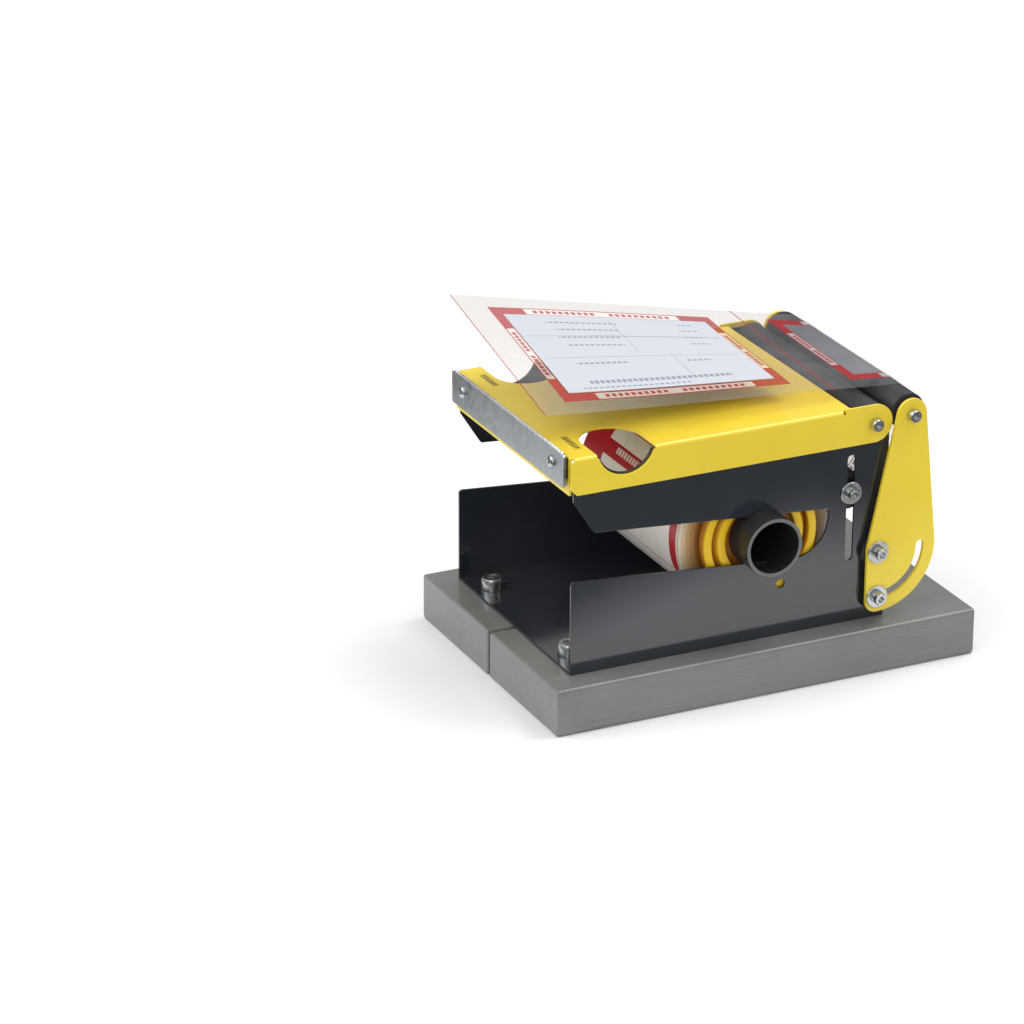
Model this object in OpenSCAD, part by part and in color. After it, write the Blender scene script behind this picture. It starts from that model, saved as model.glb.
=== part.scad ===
// Bench dispenser for printed document-pouch film: a folded steel chassis on two planks,
// a lifting table with a tear blade, a film roll on a tube axle and three free rollers.
// +Z is up, the operator stands at -Y, and the origin is the centre of the base's underside.

/* [Base] */
// Length of each base plank, front to back
base_l = 359; // [320:1:450]
// Width of each base plank
plank_w = 120; // [112:1:160]
// Gap between the two planks
plank_gap = 3.2; // [1:0.2:12]
// Height of the planks
base_h = 37.6; // [34:0.2:60]
// Rounding along the planks' long edges
plank_round = 3; // [1:0.5:6]

/* [Chassis] */
// Thickness of the chassis and table sheet
sheet = 2; // [1.5:0.1:3]
// Width over the two side panels
chassis_w = 200; // [180:1:240]
// Front edge of the chassis, ahead of the base's centre
chassis_front = 158.7; // [140:0.1:170]
// Rear edge of the chassis, behind the base's centre
chassis_rear = 109.4; // [106:0.1:130]
// How far the upper panel's tip stands back from the front edge
tip_back = 18.7; // [10:0.1:40]
// Lean of the upper panel's front edge from the vertical
front_lean = 32.6; // [10:0.1:40]
// Height of the upright part of the upper panel's front edge
front_upright = 33; // [28:0.5:34]
// Rounding of the open sheet corners
corner_r = 3; // [1:0.5:6]
// Distance of each hold-down screw from the chassis centre line
hold_x = 68; // [50:1:85]
// Distance of the hold-down screws from the chassis ends
hold_inset = 14; // [12:0.5:30]
// Diameter of the spare hole beside each front hold-down screw
spare_hole_d = 5; // [3:0.5:8]
// Distance of the spare holes behind the front hold-down screws
spare_back = 15; // [12:0.5:40]
// Distance of the spare holes outside the hold-down screws
spare_out = 3.4; // [0:0.1:8]
// Gap between the panels' front edges and the table's front flange
front_gap = 1.2; // [0.5:0.1:3]

/* [Roll slot] */
// Height of the open slot for the tube axle
slot_h = 38; // [30:0.5:44]
// Fall of the slot towards the rear, in degrees
slot_fall = 4.5; // [1:0.1:10]
// Height of the slot's centre line above the planks, at the base's centre
slot_rise = 82.7; // [76:0.1:90]
// Rear end of the slot, behind the base's centre
slot_end = 58; // [40:1:64]
// Radius of the slot's lower rear corner
pocket_r = 28.5; // [5:0.5:30]
// Diameter of the drain hole under the slot
drain_d = 7.4; // [3:0.1:10]
// Distance of the drain hole ahead of the slot's end
drain_ahead = 39.4; // [20:0.1:60]
// Distance of the drain hole below the slot's edge line
drain_below = 21; // [10:0.5:30]

/* [Guide slot] */
// Distance of the upright guide slots behind the base's centre
guide_y = 77.3; // [74:0.1:80]
// Lower end of the guide slots, above the planks
guide_low = 51.2; // [40:0.1:70]
// Upper end of the guide slots, above the planks
guide_high = 137.5; // [130:0.1:138]
// Height of the guide roller's axis above the slot's line at the base's centre
guide_rise = 24.3; // [10:0.1:35]

/* [Roll] */
// Outer diameter of the tube axle
tube_d = 47; // [42:0.5:60]
// Wall of the tube axle
tube_wall = 3; // [2:0.1:5]
// How far the tube stands out beyond each panel
tube_reach = 19.5; // [10:0.5:40]
// Bore of the cardboard core
core_bore = 76.2; // [72:0.1:92]
// Wall of the cardboard core
core_wall = 5; // [2:0.1:8]
// Outer diameter of the wound film
roll_d = 127; // [100:1:153]
// Width of the wound film
roll_w = 170; // [120:1:174]
// How far the hub's flange stands out around the core
hub_lip = 5; // [2:0.5:12]
// How deep the hub's plug sits in the core
plug_l = 25; // [10:1:40]
// Width of each raised ring on the hub's face
ring_w = 6.6; // [3:0.1:8]
// Distance from one ring to the next
ring_pitch = 11.5; // [9:0.1:14]
// Depth of the grooves between the rings
ring_depth = 7; // [2:0.5:9]

/* [Rollers] */
// Diameter of the front and rear rollers
roller_d = 29; // [24:0.5:35]
// Diameter of the guide roller
guide_roller_d = 30; // [25:0.5:36]
// Diameter of the roller axles
axle_d = 12; // [10:0.5:16]
// Gap between the front and the rear roller
roller_gap = 0.9; // [0.5:0.1:3]
// Rise of the rear roller over the front one, in degrees
roller_rise = 8.1; // [0:0.1:20]
// Distance of the front roller's axis behind the base's centre
front_axis_y = 95.2; // [93:0.1:97]

/* [Table] */
// Height of the table's top above the base's underside
table_h = 212.7; // [208:0.1:240]
// Front face of the table, ahead of the base's centre
table_front = 160.4; // [160:0.1:175]
// Rear edge of the table's top, behind the base's centre
table_rear = 76; // [60:0.5:78]
// Clearance between the table's flanges and the panels
side_gap = 0.3; // [0.2:0.1:1]
// Outer radius of the table's bends
bend_r = 3; // [2.5:0.1:5]
// How far the front roller stands above the table
roller_proud = 0.6; // [0:0.1:2]
// Margin of the table's rear ears around the front roller
ear_margin = 0.9; // [0.5:0.1:3]
// How far the root of each ear reaches ahead of the table's rear edge
ear_root = 6; // [4:0.5:12]
// Width of the relief notch between bend and ear
relief_w = 2; // [1.5:0.5:6]
// Chamfer at the flange's lower front corner
flange_chamfer = 5; // [2:0.5:10]
// Gap between the front flange and each side flange
corner_gap = 1.5; // [0.5:0.1:3]
// Width of the finger holes
finger_w = 48; // [30:1:60]
// Reach of the finger holes in from the table's side
finger_in = 50.5; // [30:0.5:60]
// Reach of the finger holes down the side flange
finger_down = 19; // [8:0.5:20]
// Distance of the finger holes behind the table's front face
finger_back = 45.7; // [32:0.1:80]
// How much the panel shows inside the edge of the finger hole
finger_lip = 1.4; // [0:0.1:4]

/* [Tear blade] */
// Width of the tear blade
blade_w = 196; // [150:1:198]
// Height of the tear blade
blade_h = 28; // [20:0.5:28]
// Thickness of the tear blade
blade_t = 2; // [1:0.1:3]
// Thickness of the black strip behind the blade
strip_t = 2; // [1:0.1:4]
// How far the blade's teeth stand above the table
blade_proud = 4.4; // [2:0.1:6]
// Pitch of the teeth
tooth_pitch = 4; // [3:0.5:8]
// Distance of the blade's screws from its middle
blade_screw_x = 78; // [50:1:90]
// Distance of the blade's screws below the table's top
blade_screw_drop = 9; // [6:0.5:16]
// How far the black strip ends above the blade's lower edge
strip_up = 7; // [0:0.5:10]

/* [Arms] */
// Thickness of the two swing arms
arm_t = 3; // [2:0.1:5]
// Distance of the arms' pivot behind the base's centre
pivot_y = 98.8; // [95:0.1:100]
// Height of the arms' pivot above the planks
pivot_rise = 57; // [52:0.1:70]
// Radius of the arm's lower lobe about the pivot
lobe_r = 50; // [45:0.5:51]
// Radius of the arc slot about the pivot
arc_slot_r = 36.9; // [30:0.1:40]
// Distance of the arm's front edge ahead of the pivot
arm_front = 9.3; // [8:0.1:12]
// Radius of the arm's top around the rear roller's axis
arm_top_r = 12.7; // [10:0.1:16]
// Height above the pivot where the arm's front edge starts to lean
knee_rise = 4; // [0:0.5:30]
// Thickness of the spacers between panel and arm
spacer_t = 4; // [3:0.1:8]
// Diameter of the spacers
spacer_d = 25; // [18:0.5:30]

/* [Fasteners] */
// Thread diameter of the machine screws
screw_d = 6; // [5:0.5:8]
// Thread diameter of the hold-down screws
hold_screw_d = 10; // [8:1:12]
// Thread diameter of the blade's screws
blade_screw_d = 5; // [4:0.5:6]
// Length of the machine screws' shanks in the roller axles
screw_bite = 14; // [8:1:25]
// Length of the hold-down screws
hold_screw_l = 28; // [15:1:33]
// Outer diameter of the washers
washer_d = 18; // [14:0.5:20]
// Thickness of the washers
washer_t = 1.6; // [1:0.1:2.5]

/* [Film] */
// Width of the film
film_w = 168; // [120:1:172]
// Thickness of the solids that stand for the film
film_t = 0.8; // [0.5:0.1:1.5]
// Sideways offset of the drawn film
film_shift = -4; // [-6:0.5:6]
// Free end of the film, ahead of the base's centre
film_front = 171; // [165:0.5:200]
// Rise of the right-hand film edge for each millimetre towards the front
rise_right = 0.078; // [0.07:0.001:0.2]
// Rise of the left-hand film edge for each millimetre towards the front
rise_left = 0.21; // [0.07:0.001:0.3]
// Width of the document in the pouch
sheet_w = 114; // [80:1:136]
// Length of the document in the pouch
sheet_l = 173; // [100:1:186]
// Distance of the document from the film's free end
sheet_back = 32.5; // [10:0.5:60]

/* [Fits] */
// Radial clearance of turning fits
run_fit = 0.1; // [0.02:0.01:0.2]
// Radial clearance of threads and pressed-on pieces
snug_fit = 0.05; // [0.02:0.01:0.1]
// Clearance around a screw in a sheet hole
hole_fit = 0.25; // [0.1:0.05:0.5]
// Gap between faces that lie against each other
face_gap = 0.1; // [0.05:0.05:0.3]
// Gap between the roll and the guide roller
rest_gap = 0.6; // [0.2:0.1:2]
// Gap between a roller or the roll and the drawn film
film_gap = 0.3; // [0.2:0.1:1]
// Clearance of the tube axle's flats in the panels' slots
tube_fit = 0.3; // [0.1:0.1:1]
// Gap between the hubs and the side panels
hub_gap = 1; // [0.5:0.1:3]
// Gap between the front roller's ends and the panels
front_end_gap = 0.5; // [0.2:0.1:3]
// Gap between the guide roller's ends and the panels
guide_end_gap = 2; // [0.5:0.1:4]
// How far the rear roller's ends stand inside the panels' outer faces
rear_end_gap = 0.2; // [0:0.1:3]

/* [Hidden] */
$fn = 64;

// Side positions, measured from the centre plane
panel_out = chassis_w / 2;
panel_in = panel_out - sheet;
flange_in = panel_out + side_gap;
flange_out = flange_in + sheet;
arm_in = panel_out + spacer_t + 2 * face_gap;
arm_out = arm_in + arm_t;

// Heights and lines of the chassis
deck = base_h;
floor_top = deck + sheet;
slot_z = deck + slot_rise;
table_under = table_h - sheet;
panel_top = table_under - side_gap;
panel_front = table_front - sheet - front_gap;
tip_y = tip_back - chassis_front;
front_hold_y = hold_inset - chassis_front;
rear_hold_y = chassis_rear - hold_inset;
drain_y = slot_end - drain_ahead;
drain_z = slot_z - slot_h / 2 - drain_below;

// Roller axes
roller_r = roller_d / 2;
front_axis_z = table_h + roller_proud - roller_r;
axis_step = roller_d + roller_gap;
rear_axis_y = front_axis_y + axis_step * cos(roller_rise);
rear_axis_z = front_axis_z + axis_step * sin(roller_rise);
ear_r = roller_r + ear_margin;
flange_bottom = front_axis_z - ear_r;
guide_z = slot_z + guide_rise;
guide_r = guide_roller_d / 2;

// Roll position: on the slot's centre line, resting against the guide roller
roll_r = roll_d / 2;
slot_dir = [cos(slot_fall), -sin(slot_fall)];
to_guide = [guide_y, guide_z - slot_z];
guide_along = to_guide * slot_dir;
guide_across = to_guide[0] * slot_dir[1] - to_guide[1] * slot_dir[0];
roll_reach = roll_r + guide_r + rest_gap;
roll_along = guide_along - sqrt(roll_reach * roll_reach - guide_across * guide_across);
roll_y = roll_along * slot_dir[0];
roll_z = slot_z + roll_along * slot_dir[1];
core_r = core_bore / 2 + core_wall;
hub_face = panel_in - hub_gap;
hub_r = core_r + hub_lip;

// Arm points
pivot_z = deck + pivot_rise;
pivot = [pivot_y, pivot_z];
rear_axis = [rear_axis_y, rear_axis_z];
screw_hole_r = screw_d / 2 + hole_fit;

// Finger holes
finger_y = finger_back - table_front;
finger_r = finger_w / 2;
finger_z = table_h - finger_down + finger_r;
finger_x = flange_out - finger_in + finger_r;

// Tear blade
strip_y = -table_front - face_gap;
blade_y = strip_y - strip_t - face_gap;
blade_top = table_h + blade_proud;
blade_screw_z = table_h - blade_screw_drop;
tooth_h = tooth_pitch / 2;
teeth = floor((blade_w - 2 * corner_r) / tooth_pitch);

// Film
film_z0 = rear_axis_z + roller_r + film_gap;
film_right = film_shift + film_w / 2;
film_left = film_shift - film_w / 2;
film_split_y = front_axis_y;
feed_angle = tangent_angle([roll_y, roll_z], roll_r, rear_axis, roller_r, -1);

// Direction at an angle in the side view
function dir(a) = [cos(a), sin(a)];

// Direction in which the outer tangent of two circles touches both, on side s
function tangent_angle(c1, r1, c2, r2, s) =
    let (v = c2 - c1)
    atan2(v[1], v[0]) + s * acos((r1 - r2) / norm(v));

// Points of an arc about c, from angle a to angle b
function arc(c, r, a, b, n = 12) = [for (i = [0 : n]) c + r * dir(a + (b - a) * i / n)];

// An angle brought between -180 and 180
function short_turn(a) = a > 180 ? a - 360 : a < -180 ? a + 360 : a;

// The corner at q between p and n, rounded to radius r
function corner(p, q, n, r) =
    let (u = (p - q) / norm(p - q), v = (n - q) / norm(n - q), h = acos(u * v) / 2,
        m = q + (u + v) / norm(u + v) * r / sin(h), t = r / tan(h),
        d = q + u * t - m, e = q + v * t - m, a = atan2(d[1], d[0]), b = atan2(e[1], e[0]))
    r == 0 ? [q] : arc(m, r, a, a + short_turn(b - a), 6);

// An outline whose corners have the given radii
module rounded(points, radii) {
    n = len(points);
    polygon([
        for (i = [0 : n - 1])
            each corner(points[(i + n - 1) % n], points[i], points[(i + 1) % n], radii[i])
    ]);
}

// Height of the drawn film's lower face
function film_z(x, y) =
    film_z0 + (rear_axis_y - y)
        * (rise_left + (rise_right - rise_left) * (x - film_left) / film_w);

// Stands an outline drawn in (y, z) up in the side view, from x0 with thickness t
module side_plate(x0, t) {
    translate([x0, 0, 0])
        rotate([90, 0, 90])
            linear_extrude(t)
                children();
}

// A round bar along X
module bar(y, z, r, x0, x1) {
    translate([x0, y, z])
        rotate([0, 90, 0])
            cylinder(r = r, h = x1 - x0);
}

// The children, and the same mirrored to the other side
module both_sides() {
    children();
    mirror([1, 0, 0])
        children();
}

// Mirrors the children when side is -1
module on_side(side) {
    mirror([side < 0 ? 1 : 0, 0, 0])
        children();
}

// A rectangle with its four corners rounded, from one corner to the other
module round_rect(a, b, r) {
    for (y = [a[0] + r, b[0] - r], z = [a[1] + r, b[1] - r])
        translate([y, z])
            circle(r);
    translate([a[0] + r, a[1]])
        square([b[0] - a[0] - 2 * r, b[1] - a[1]]);
    translate([a[0], a[1] + r])
        square([b[0] - a[0], b[1] - a[1] - 2 * r]);
}

// A socket cap screw along X: its head's underside at x, pointing inwards.
// The head's sizes follow the thread, as on every screw of this kind.
module cap_screw(x, y, z, d, l) {
    head_r = d * 10 / 12;
    difference() {
        union() {
            bar(y, z, head_r, x, x + d);
            bar(y, z, d / 2, x - l, x + 0.5);
        }
        translate([x + d / 2, y, z])
            rotate([0, 90, 0])
                cylinder(r = d * 0.48, h = d, $fn = 6);
    }
}

// A washer along X, from x outwards
module washer(x, y, z) {
    difference() {
        bar(y, z, washer_d / 2, x, x + washer_t);
        bar(y, z, screw_d / 2 + snug_fit, x - 1, x + washer_t + 1);
    }
}

// A hexagon nut along X, from x inwards
module nut(x, y, z, d) {
    difference() {
        translate([x - d * 0.8, y, z])
            rotate([0, 90, 0])
                cylinder(r = d * 0.96, h = d * 0.8, $fn = 6);
        bar(y, z, d / 2 + snug_fit, x - d, x + 1);
    }
}

module base_plank(side) {
    x0 = plank_gap / 2;
    color("#82837F")
        on_side(side)
            difference() {
                translate([0, base_l / 2, 0])
                    rotate([90, 0, 0])
                        linear_extrude(base_l)
                            round_rect([x0, 0], [x0 + plank_w, base_h], plank_round);
                for (y = [front_hold_y, rear_hold_y])
                    translate([hold_x, y, deck - hold_screw_l - 2])
                        cylinder(d = hold_screw_d + 2 * snug_fit, h = hold_screw_l + 3);
            }
}

// A place in the slot: along it from the base's centre, and across it from its centre line
function in_slot(along, across) =
    [0, slot_z] + along * slot_dir + across * [sin(slot_fall), cos(slot_fall)];

// Outline of one side panel, with the open slot that the tube axle slides in
module panel_outline() {
    h = slot_h / 2;
    lean_z = panel_top - front_upright;
    upper_z = slot_z - tip_y * tan(slot_fall) + h / cos(slot_fall);
    tip_shift = (lean_z - upper_z) * tan(front_lean) - tip_y - panel_front;
    lower_z = slot_z + chassis_front * tan(slot_fall) - h / cos(slot_fall);
    top_r = chassis_rear - front_axis_y;
    difference() {
        rounded([
            [-chassis_front, deck],
            [chassis_rear, deck],
            [chassis_rear, panel_top],
            [-panel_front, panel_top],
            [-panel_front, lean_z],
            [tip_y + tip_shift, upper_z + tip_shift * -tan(slot_fall)],
            in_slot(slot_end, h),
            in_slot(slot_end, -h),
            [-chassis_front, lower_z]
        ], [0, corner_r, top_r, corner_r, corner_r, corner_r, 2, pocket_r, corner_r]);
        translate([finger_y, finger_z])
            circle(finger_r - finger_lip);
        guide_slot();
        for (p = [[front_axis_y, front_axis_z], pivot, pivot - [0, arc_slot_r]])
            translate(p)
                circle(screw_hole_r);
        translate([drain_y, drain_z])
            circle(d = drain_d);
    }
}

// Outline of the upright slot for the guide roller's screws
module guide_slot() {
    r = screw_hole_r;
    for (z = [deck + guide_low + r, deck + guide_high - r])
        translate([guide_y, z])
            circle(r);
    translate([guide_y - r, deck + guide_low + r])
        square([2 * r, guide_high - guide_low - 2 * r]);
}

module chassis() {
    color("#3A3F44")
        difference() {
            union() {
                both_sides()
                    side_plate(panel_in, sheet)
                        panel_outline();
                translate([-panel_out, -chassis_front, deck])
                    cube([chassis_w, chassis_front + chassis_rear, sheet]);
            }
            for (x = [-hold_x, hold_x], y = [front_hold_y, rear_hold_y])
                translate([x, y, deck - 1])
                    cylinder(d = hold_screw_d + 2 * hole_fit, h = sheet + 2);
            both_sides()
                translate([hold_x + spare_out, front_hold_y + spare_back, deck - 1])
                    cylinder(d = spare_hole_d, h = sheet + 2);
        }
}

module chassis_screws() {
    color("silver")
        for (x = [-hold_x, hold_x], y = [front_hold_y, rear_hold_y])
            translate([x, y, floor_top + face_gap])
                rotate([0, -90, 0])
                    cap_screw(0, 0, 0, hold_screw_d, hold_screw_l);
}

// Outline of the table's side flange, with its rear ear
module flange_outline() {
    ear_y = table_rear - ear_root;
    difference() {
        union() {
            rounded([
                [-table_front, table_h - bend_r],
                [-table_front, flange_bottom + flange_chamfer],
                [-table_front + flange_chamfer, flange_bottom],
                [front_axis_y, flange_bottom],
                [front_axis_y, table_h - bend_r]
            ], [0, 2, 2, 0, 0]);
            translate([ear_y, flange_bottom])
                square([front_axis_y - ear_y, 2 * ear_r]);
            translate([front_axis_y, front_axis_z])
                circle(ear_r);
        }
        translate([ear_y - relief_w, table_h - bend_r])
            square([relief_w, 2 * bend_r]);
        translate([front_axis_y, front_axis_z])
            circle(screw_hole_r);
    }
}

// A quarter ring, the section of a bend
module bend_section() {
    intersection() {
        difference() {
            circle(bend_r);
            circle(bend_r - sheet);
        }
        square(bend_r + 1);
    }
}

module table() {
    front_w = 2 * (flange_in - corner_gap);
    bend_end = table_rear - ear_root - relief_w;
    color("#E3C93F")
        difference() {
            union() {
                both_sides() {
                    side_plate(flange_in, sheet)
                        flange_outline();
                    translate([flange_out - bend_r, bend_end, table_h - bend_r])
                        rotate([90, 0, 0])
                            linear_extrude(bend_end + table_front - bend_r)
                                bend_section();
                }
                translate([-flange_out + bend_r, -table_front + bend_r, table_under])
                    cube([2 * (flange_out - bend_r), table_front + table_rear - bend_r, sheet]);
                translate([-front_w / 2, -table_front, flange_bottom - 0.5])
                    cube([front_w, sheet, table_h - bend_r - flange_bottom + 0.5]);
                translate([-front_w / 2, -table_front + bend_r, table_h - bend_r])
                    rotate([90, 0, 90])
                        linear_extrude(front_w)
                            mirror([1, 0])
                                bend_section();
            }
            both_sides() {
                finger_cut();
                blade_screw_hole();
            }
        }
}

// The hole through the table's top, over the bend and down the side flange
module finger_cut() {
    translate([finger_x, finger_y, table_under - 1])
        cylinder(r = finger_r, h = sheet + 2);
    translate([finger_x, finger_y - finger_r, table_under - 1])
        cube([flange_out - finger_x + 1, finger_w, sheet + 2]);
    bar(finger_y, finger_z, finger_r, panel_out - 4, flange_out + 1);
}

// Hole for a blade screw
module blade_screw_hole() {
    translate([blade_screw_x, 0, blade_screw_z])
        rotate([90, 0, 0])
            cylinder(d = blade_screw_d + 2 * hole_fit, h = base_l);
}

module blade_strip() {
    color("#1C1C1C")
        difference() {
            translate([1 - blade_w / 2, strip_y - strip_t, blade_top - blade_h + strip_up])
                cube([blade_w - 2, strip_t, blade_h - blade_proud - strip_up]);
            both_sides()
                blade_screw_hole();
        }
}

module tear_blade() {
    body_top = blade_top - tooth_h;
    first = -teeth * tooth_pitch / 2;
    color("#B4B9BC")
        difference() {
            translate([0, blade_y, 0])
                rotate([90, 0, 0])
                    linear_extrude(blade_t) {
                        round_rect([-blade_w / 2, blade_top - blade_h], [blade_w / 2, body_top], corner_r);
                        for (i = [0 : teeth - 1])
                            translate([first + i * tooth_pitch, body_top])
                                polygon([[0, -0.01], [tooth_pitch, -0.01], [tooth_pitch / 2, tooth_h]]);
                    }
            both_sides()
                blade_screw_hole();
        }
}

module blade_screws() {
    reach = blade_t + strip_t + sheet + blade_screw_d;
    color("silver")
        both_sides()
            translate([blade_screw_x, blade_y - blade_t - face_gap, blade_screw_z])
                rotate([0, 0, -90])
                    button_screw(blade_screw_d, reach);
}

// A low button screw along X, its head's underside at the origin
module button_screw(d, l) {
    difference() {
        union() {
            bar(0, 0, d * 0.95, 0, d * 0.5);
            bar(0, 0, d / 2, -l, 0.5);
        }
        translate([d * 0.2, 0, 0])
            rotate([0, 90, 0])
                cylinder(r = d * 0.35, h = d, $fn = 6);
    }
}

module blade_nuts() {
    color("silver")
        both_sides()
            translate([blade_screw_x, -table_front + sheet + face_gap, blade_screw_z])
                rotate([0, 0, -90])
                    nut(0, 0, 0, blade_screw_d);
}

// A roller: a tube that turns on its axle
module roller(y, z, r, half) {
    color("#202122")
        difference() {
            bar(y, z, r, -half, half);
            bar(y, z, axle_d / 2 + run_fit, -half - 1, half + 1);
        }
}

// A roller's axle, tapped at both ends
module axle(y, z, half) {
    color("silver")
        difference() {
            bar(y, z, axle_d / 2, -half, half);
            both_sides()
                bar(y, z, screw_d / 2 + snug_fit, half - screw_bite - 3, half + 1);
        }
}

// The two screws that hold an axle: heads against x, threads in an axle of half length half
module axle_screws(x, y, z, half) {
    color("silver")
        both_sides()
            cap_screw(x + face_gap, y, z, screw_d, x + face_gap - half + screw_bite);
}

module front_roller() {
    roller(front_axis_y, front_axis_z, roller_r, panel_in - front_end_gap);
}

module front_roller_axle() {
    axle(front_axis_y, front_axis_z, panel_in - face_gap);
}

module front_roller_screws() {
    axle_screws(flange_out, front_axis_y, front_axis_z, panel_in - face_gap);
}

module rear_roller() {
    roller(rear_axis_y, rear_axis_z, roller_r, panel_out - rear_end_gap);
}

module rear_roller_axle() {
    axle(rear_axis_y, rear_axis_z, arm_in - face_gap);
}

module rear_roller_screws() {
    axle_screws(arm_out, rear_axis_y, rear_axis_z, arm_in - face_gap);
}

module guide_roller() {
    roller(guide_y, guide_z, guide_r, panel_in - guide_end_gap);
}

module guide_axle() {
    axle(guide_y, guide_z, panel_in - face_gap);
}

module guide_screws() {
    axle_screws(panel_out + face_gap + washer_t, guide_y, guide_z, panel_in - face_gap);
}

module guide_washers() {
    color("silver")
        both_sides()
            washer(panel_out + face_gap, guide_y, guide_z);
}

// Outline of a swing arm: a round top, a leaning waist and a quarter-round lobe
module arm_outline() {
    knee = pivot + [-arm_front, knee_rise];
    foot = pivot + [0, arm_front - lobe_r];
    front_a = tangent_angle(knee, 0, rear_axis, arm_top_r, 1);
    rear_a = tangent_angle(pivot, lobe_r, rear_axis, arm_top_r, -1);
    difference() {
        polygon(concat(
            [knee],
            arc(rear_axis, arm_top_r, front_a, rear_a, 36),
            arc(pivot, lobe_r, rear_a, -90, 36),
            arc(foot, arm_front, -90, -180)
        ));
        for (p = [pivot, rear_axis])
            translate(p)
                circle(screw_hole_r);
        arc_slot();
    }
}

// The quarter-circle slot about the pivot that the locking screw runs in
module arc_slot() {
    translate(pivot) {
        intersection() {
            difference() {
                circle(arc_slot_r + screw_hole_r, $fn = 128);
                circle(arc_slot_r - screw_hole_r, $fn = 128);
            }
            translate([0, -lobe_r])
                square(lobe_r);
        }
        for (a = [-90, 0])
            translate(arc_slot_r * dir(a))
                circle(screw_hole_r);
    }
}

module arm(side) {
    color("#E3C93F")
        on_side(side)
            side_plate(arm_in, arm_t)
                arm_outline();
}

module pivot_spacers() {
    color("#2A2B2C")
        both_sides()
            difference() {
                bar(pivot_y, pivot_z, spacer_d / 2, panel_out + face_gap, arm_in - face_gap);
                bar(pivot_y, pivot_z, screw_d / 2 + snug_fit, panel_in, arm_in + 1);
            }
}

// The two screws through arm and panel at a height z
module arm_screws(z) {
    x = arm_out + 2 * face_gap + washer_t;
    color("silver")
        both_sides()
            cap_screw(x, pivot_y, z, screw_d, x - panel_in + screw_d);
}

// The washers under those screws
module arm_washers(z) {
    color("silver")
        both_sides()
            washer(arm_out + face_gap, pivot_y, z);
}

// The nuts inside the panels
module arm_nuts(z) {
    color("silver")
        both_sides()
            nut(panel_in - face_gap, pivot_y, z, screw_d);
}

module pivot_screws() {
    arm_screws(pivot_z);
}

module pivot_washers() {
    arm_washers(pivot_z);
}

module pivot_nuts() {
    arm_nuts(pivot_z);
}

module lock_screws() {
    arm_screws(pivot_z - arc_slot_r);
}

module lock_washers() {
    arm_washers(pivot_z - arc_slot_r);
}

module lock_nuts() {
    arm_nuts(pivot_z - arc_slot_r);
}

// The tube axle, with flats where it sits in the panels' slots
module tube_axle() {
    half = panel_out + tube_reach;
    flat = slot_h / 2 - tube_fit;
    color("#1E1F20")
        translate([0, roll_y, roll_z])
            rotate([-slot_fall, 0, 0])
                difference() {
                    bar(0, 0, tube_d / 2, -half, half);
                    bar(0, 0, tube_d / 2 - tube_wall, -half - 1, half + 1);
                    both_sides()
                        for (s = [-1, 1])
                            translate([panel_in - tube_fit, -tube_d / 2, s > 0 ? flat : -flat - tube_d])
                                cube([sheet + 2 * tube_fit, tube_d, tube_d]);
                }
}

// A hub: a plug in the core, with a ringed flange outside it
module hub(side) {
    flange_face = roll_w / 2 + face_gap;
    bore_r = tube_d / 2 + run_fit;
    color("#E8B92C")
        on_side(side)
            translate([0, roll_y, roll_z])
                rotate([0, 90, 0])
                    difference() {
                        union() {
                            translate([0, 0, flange_face - plug_l])
                                cylinder(r = core_bore / 2 - snug_fit, h = plug_l + 1);
                            translate([0, 0, flange_face])
                                cylinder(r = hub_r, h = hub_face - flange_face, $fn = 96);
                        }
                        cylinder(r = bore_r, h = panel_out);
                        for (r = [hub_r - ring_w, hub_r - ring_w - ring_pitch])
                            ring_groove(r - ring_pitch + ring_w, r, hub_face - ring_depth);
                    }
}

// A ring-shaped groove between two radii, open outwards from a depth
module ring_groove(r_in, r_out, x) {
    translate([0, 0, x])
        difference() {
            cylinder(r = r_out, h = panel_out, $fn = 96);
            translate([0, 0, -1])
                cylinder(r = r_in, h = panel_out + 2, $fn = 96);
        }
}

module cardboard_core() {
    color("#B08A5C")
        difference() {
            bar(roll_y, roll_z, core_r, -roll_w / 2, roll_w / 2);
            bar(roll_y, roll_z, core_bore / 2, -roll_w, roll_w);
        }
}

module film_roll() {
    color("#E9E2D3")
        difference() {
            bar(roll_y, roll_z, roll_r, -roll_w / 2, roll_w / 2);
            bar(roll_y, roll_z, core_r + snug_fit, -roll_w, roll_w);
        }
}

// A sheet between x0..x1 and y0..y1 that follows the drawn film, lifted above it
module film_patch(x0, x1, y0, y1, lift, t) {
    nx = 8;
    ny = 14;
    row = nx + 1;
    layer = row * (ny + 1);
    points = [
        for (up = [0, t], j = [0 : ny], i = [0 : nx])
            let (x = x0 + (x1 - x0) * i / nx, y = y0 + (y1 - y0) * j / ny)
            [x, y, film_z(x, y) + lift + up]
    ];
    cells = [for (j = [0 : ny - 1], i = [0 : nx - 1]) j * row + i];
    under = [
        for (c = cells)
            each [[c, c + 1, c + row + 1], [c, c + row + 1, c + row]]
    ];
    over = [for (f = under) [f[2] + layer, f[1] + layer, f[0] + layer]];
    rim = concat(
        [for (i = [0 : nx - 1]) [i, i + 1]],
        [for (j = [0 : ny - 1]) [j * row + nx, (j + 1) * row + nx]],
        [for (i = [nx : -1 : 1]) [ny * row + i, ny * row + i - 1]],
        [for (j = [ny : -1 : 1]) [j * row, (j - 1) * row]]
    );
    walls = [
        for (e = rim)
            each [[e[0], e[0] + layer, e[1] + layer], [e[0], e[1] + layer, e[1]]]
    ];
    polyhedron(points, concat(under, over, walls));
}

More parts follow.
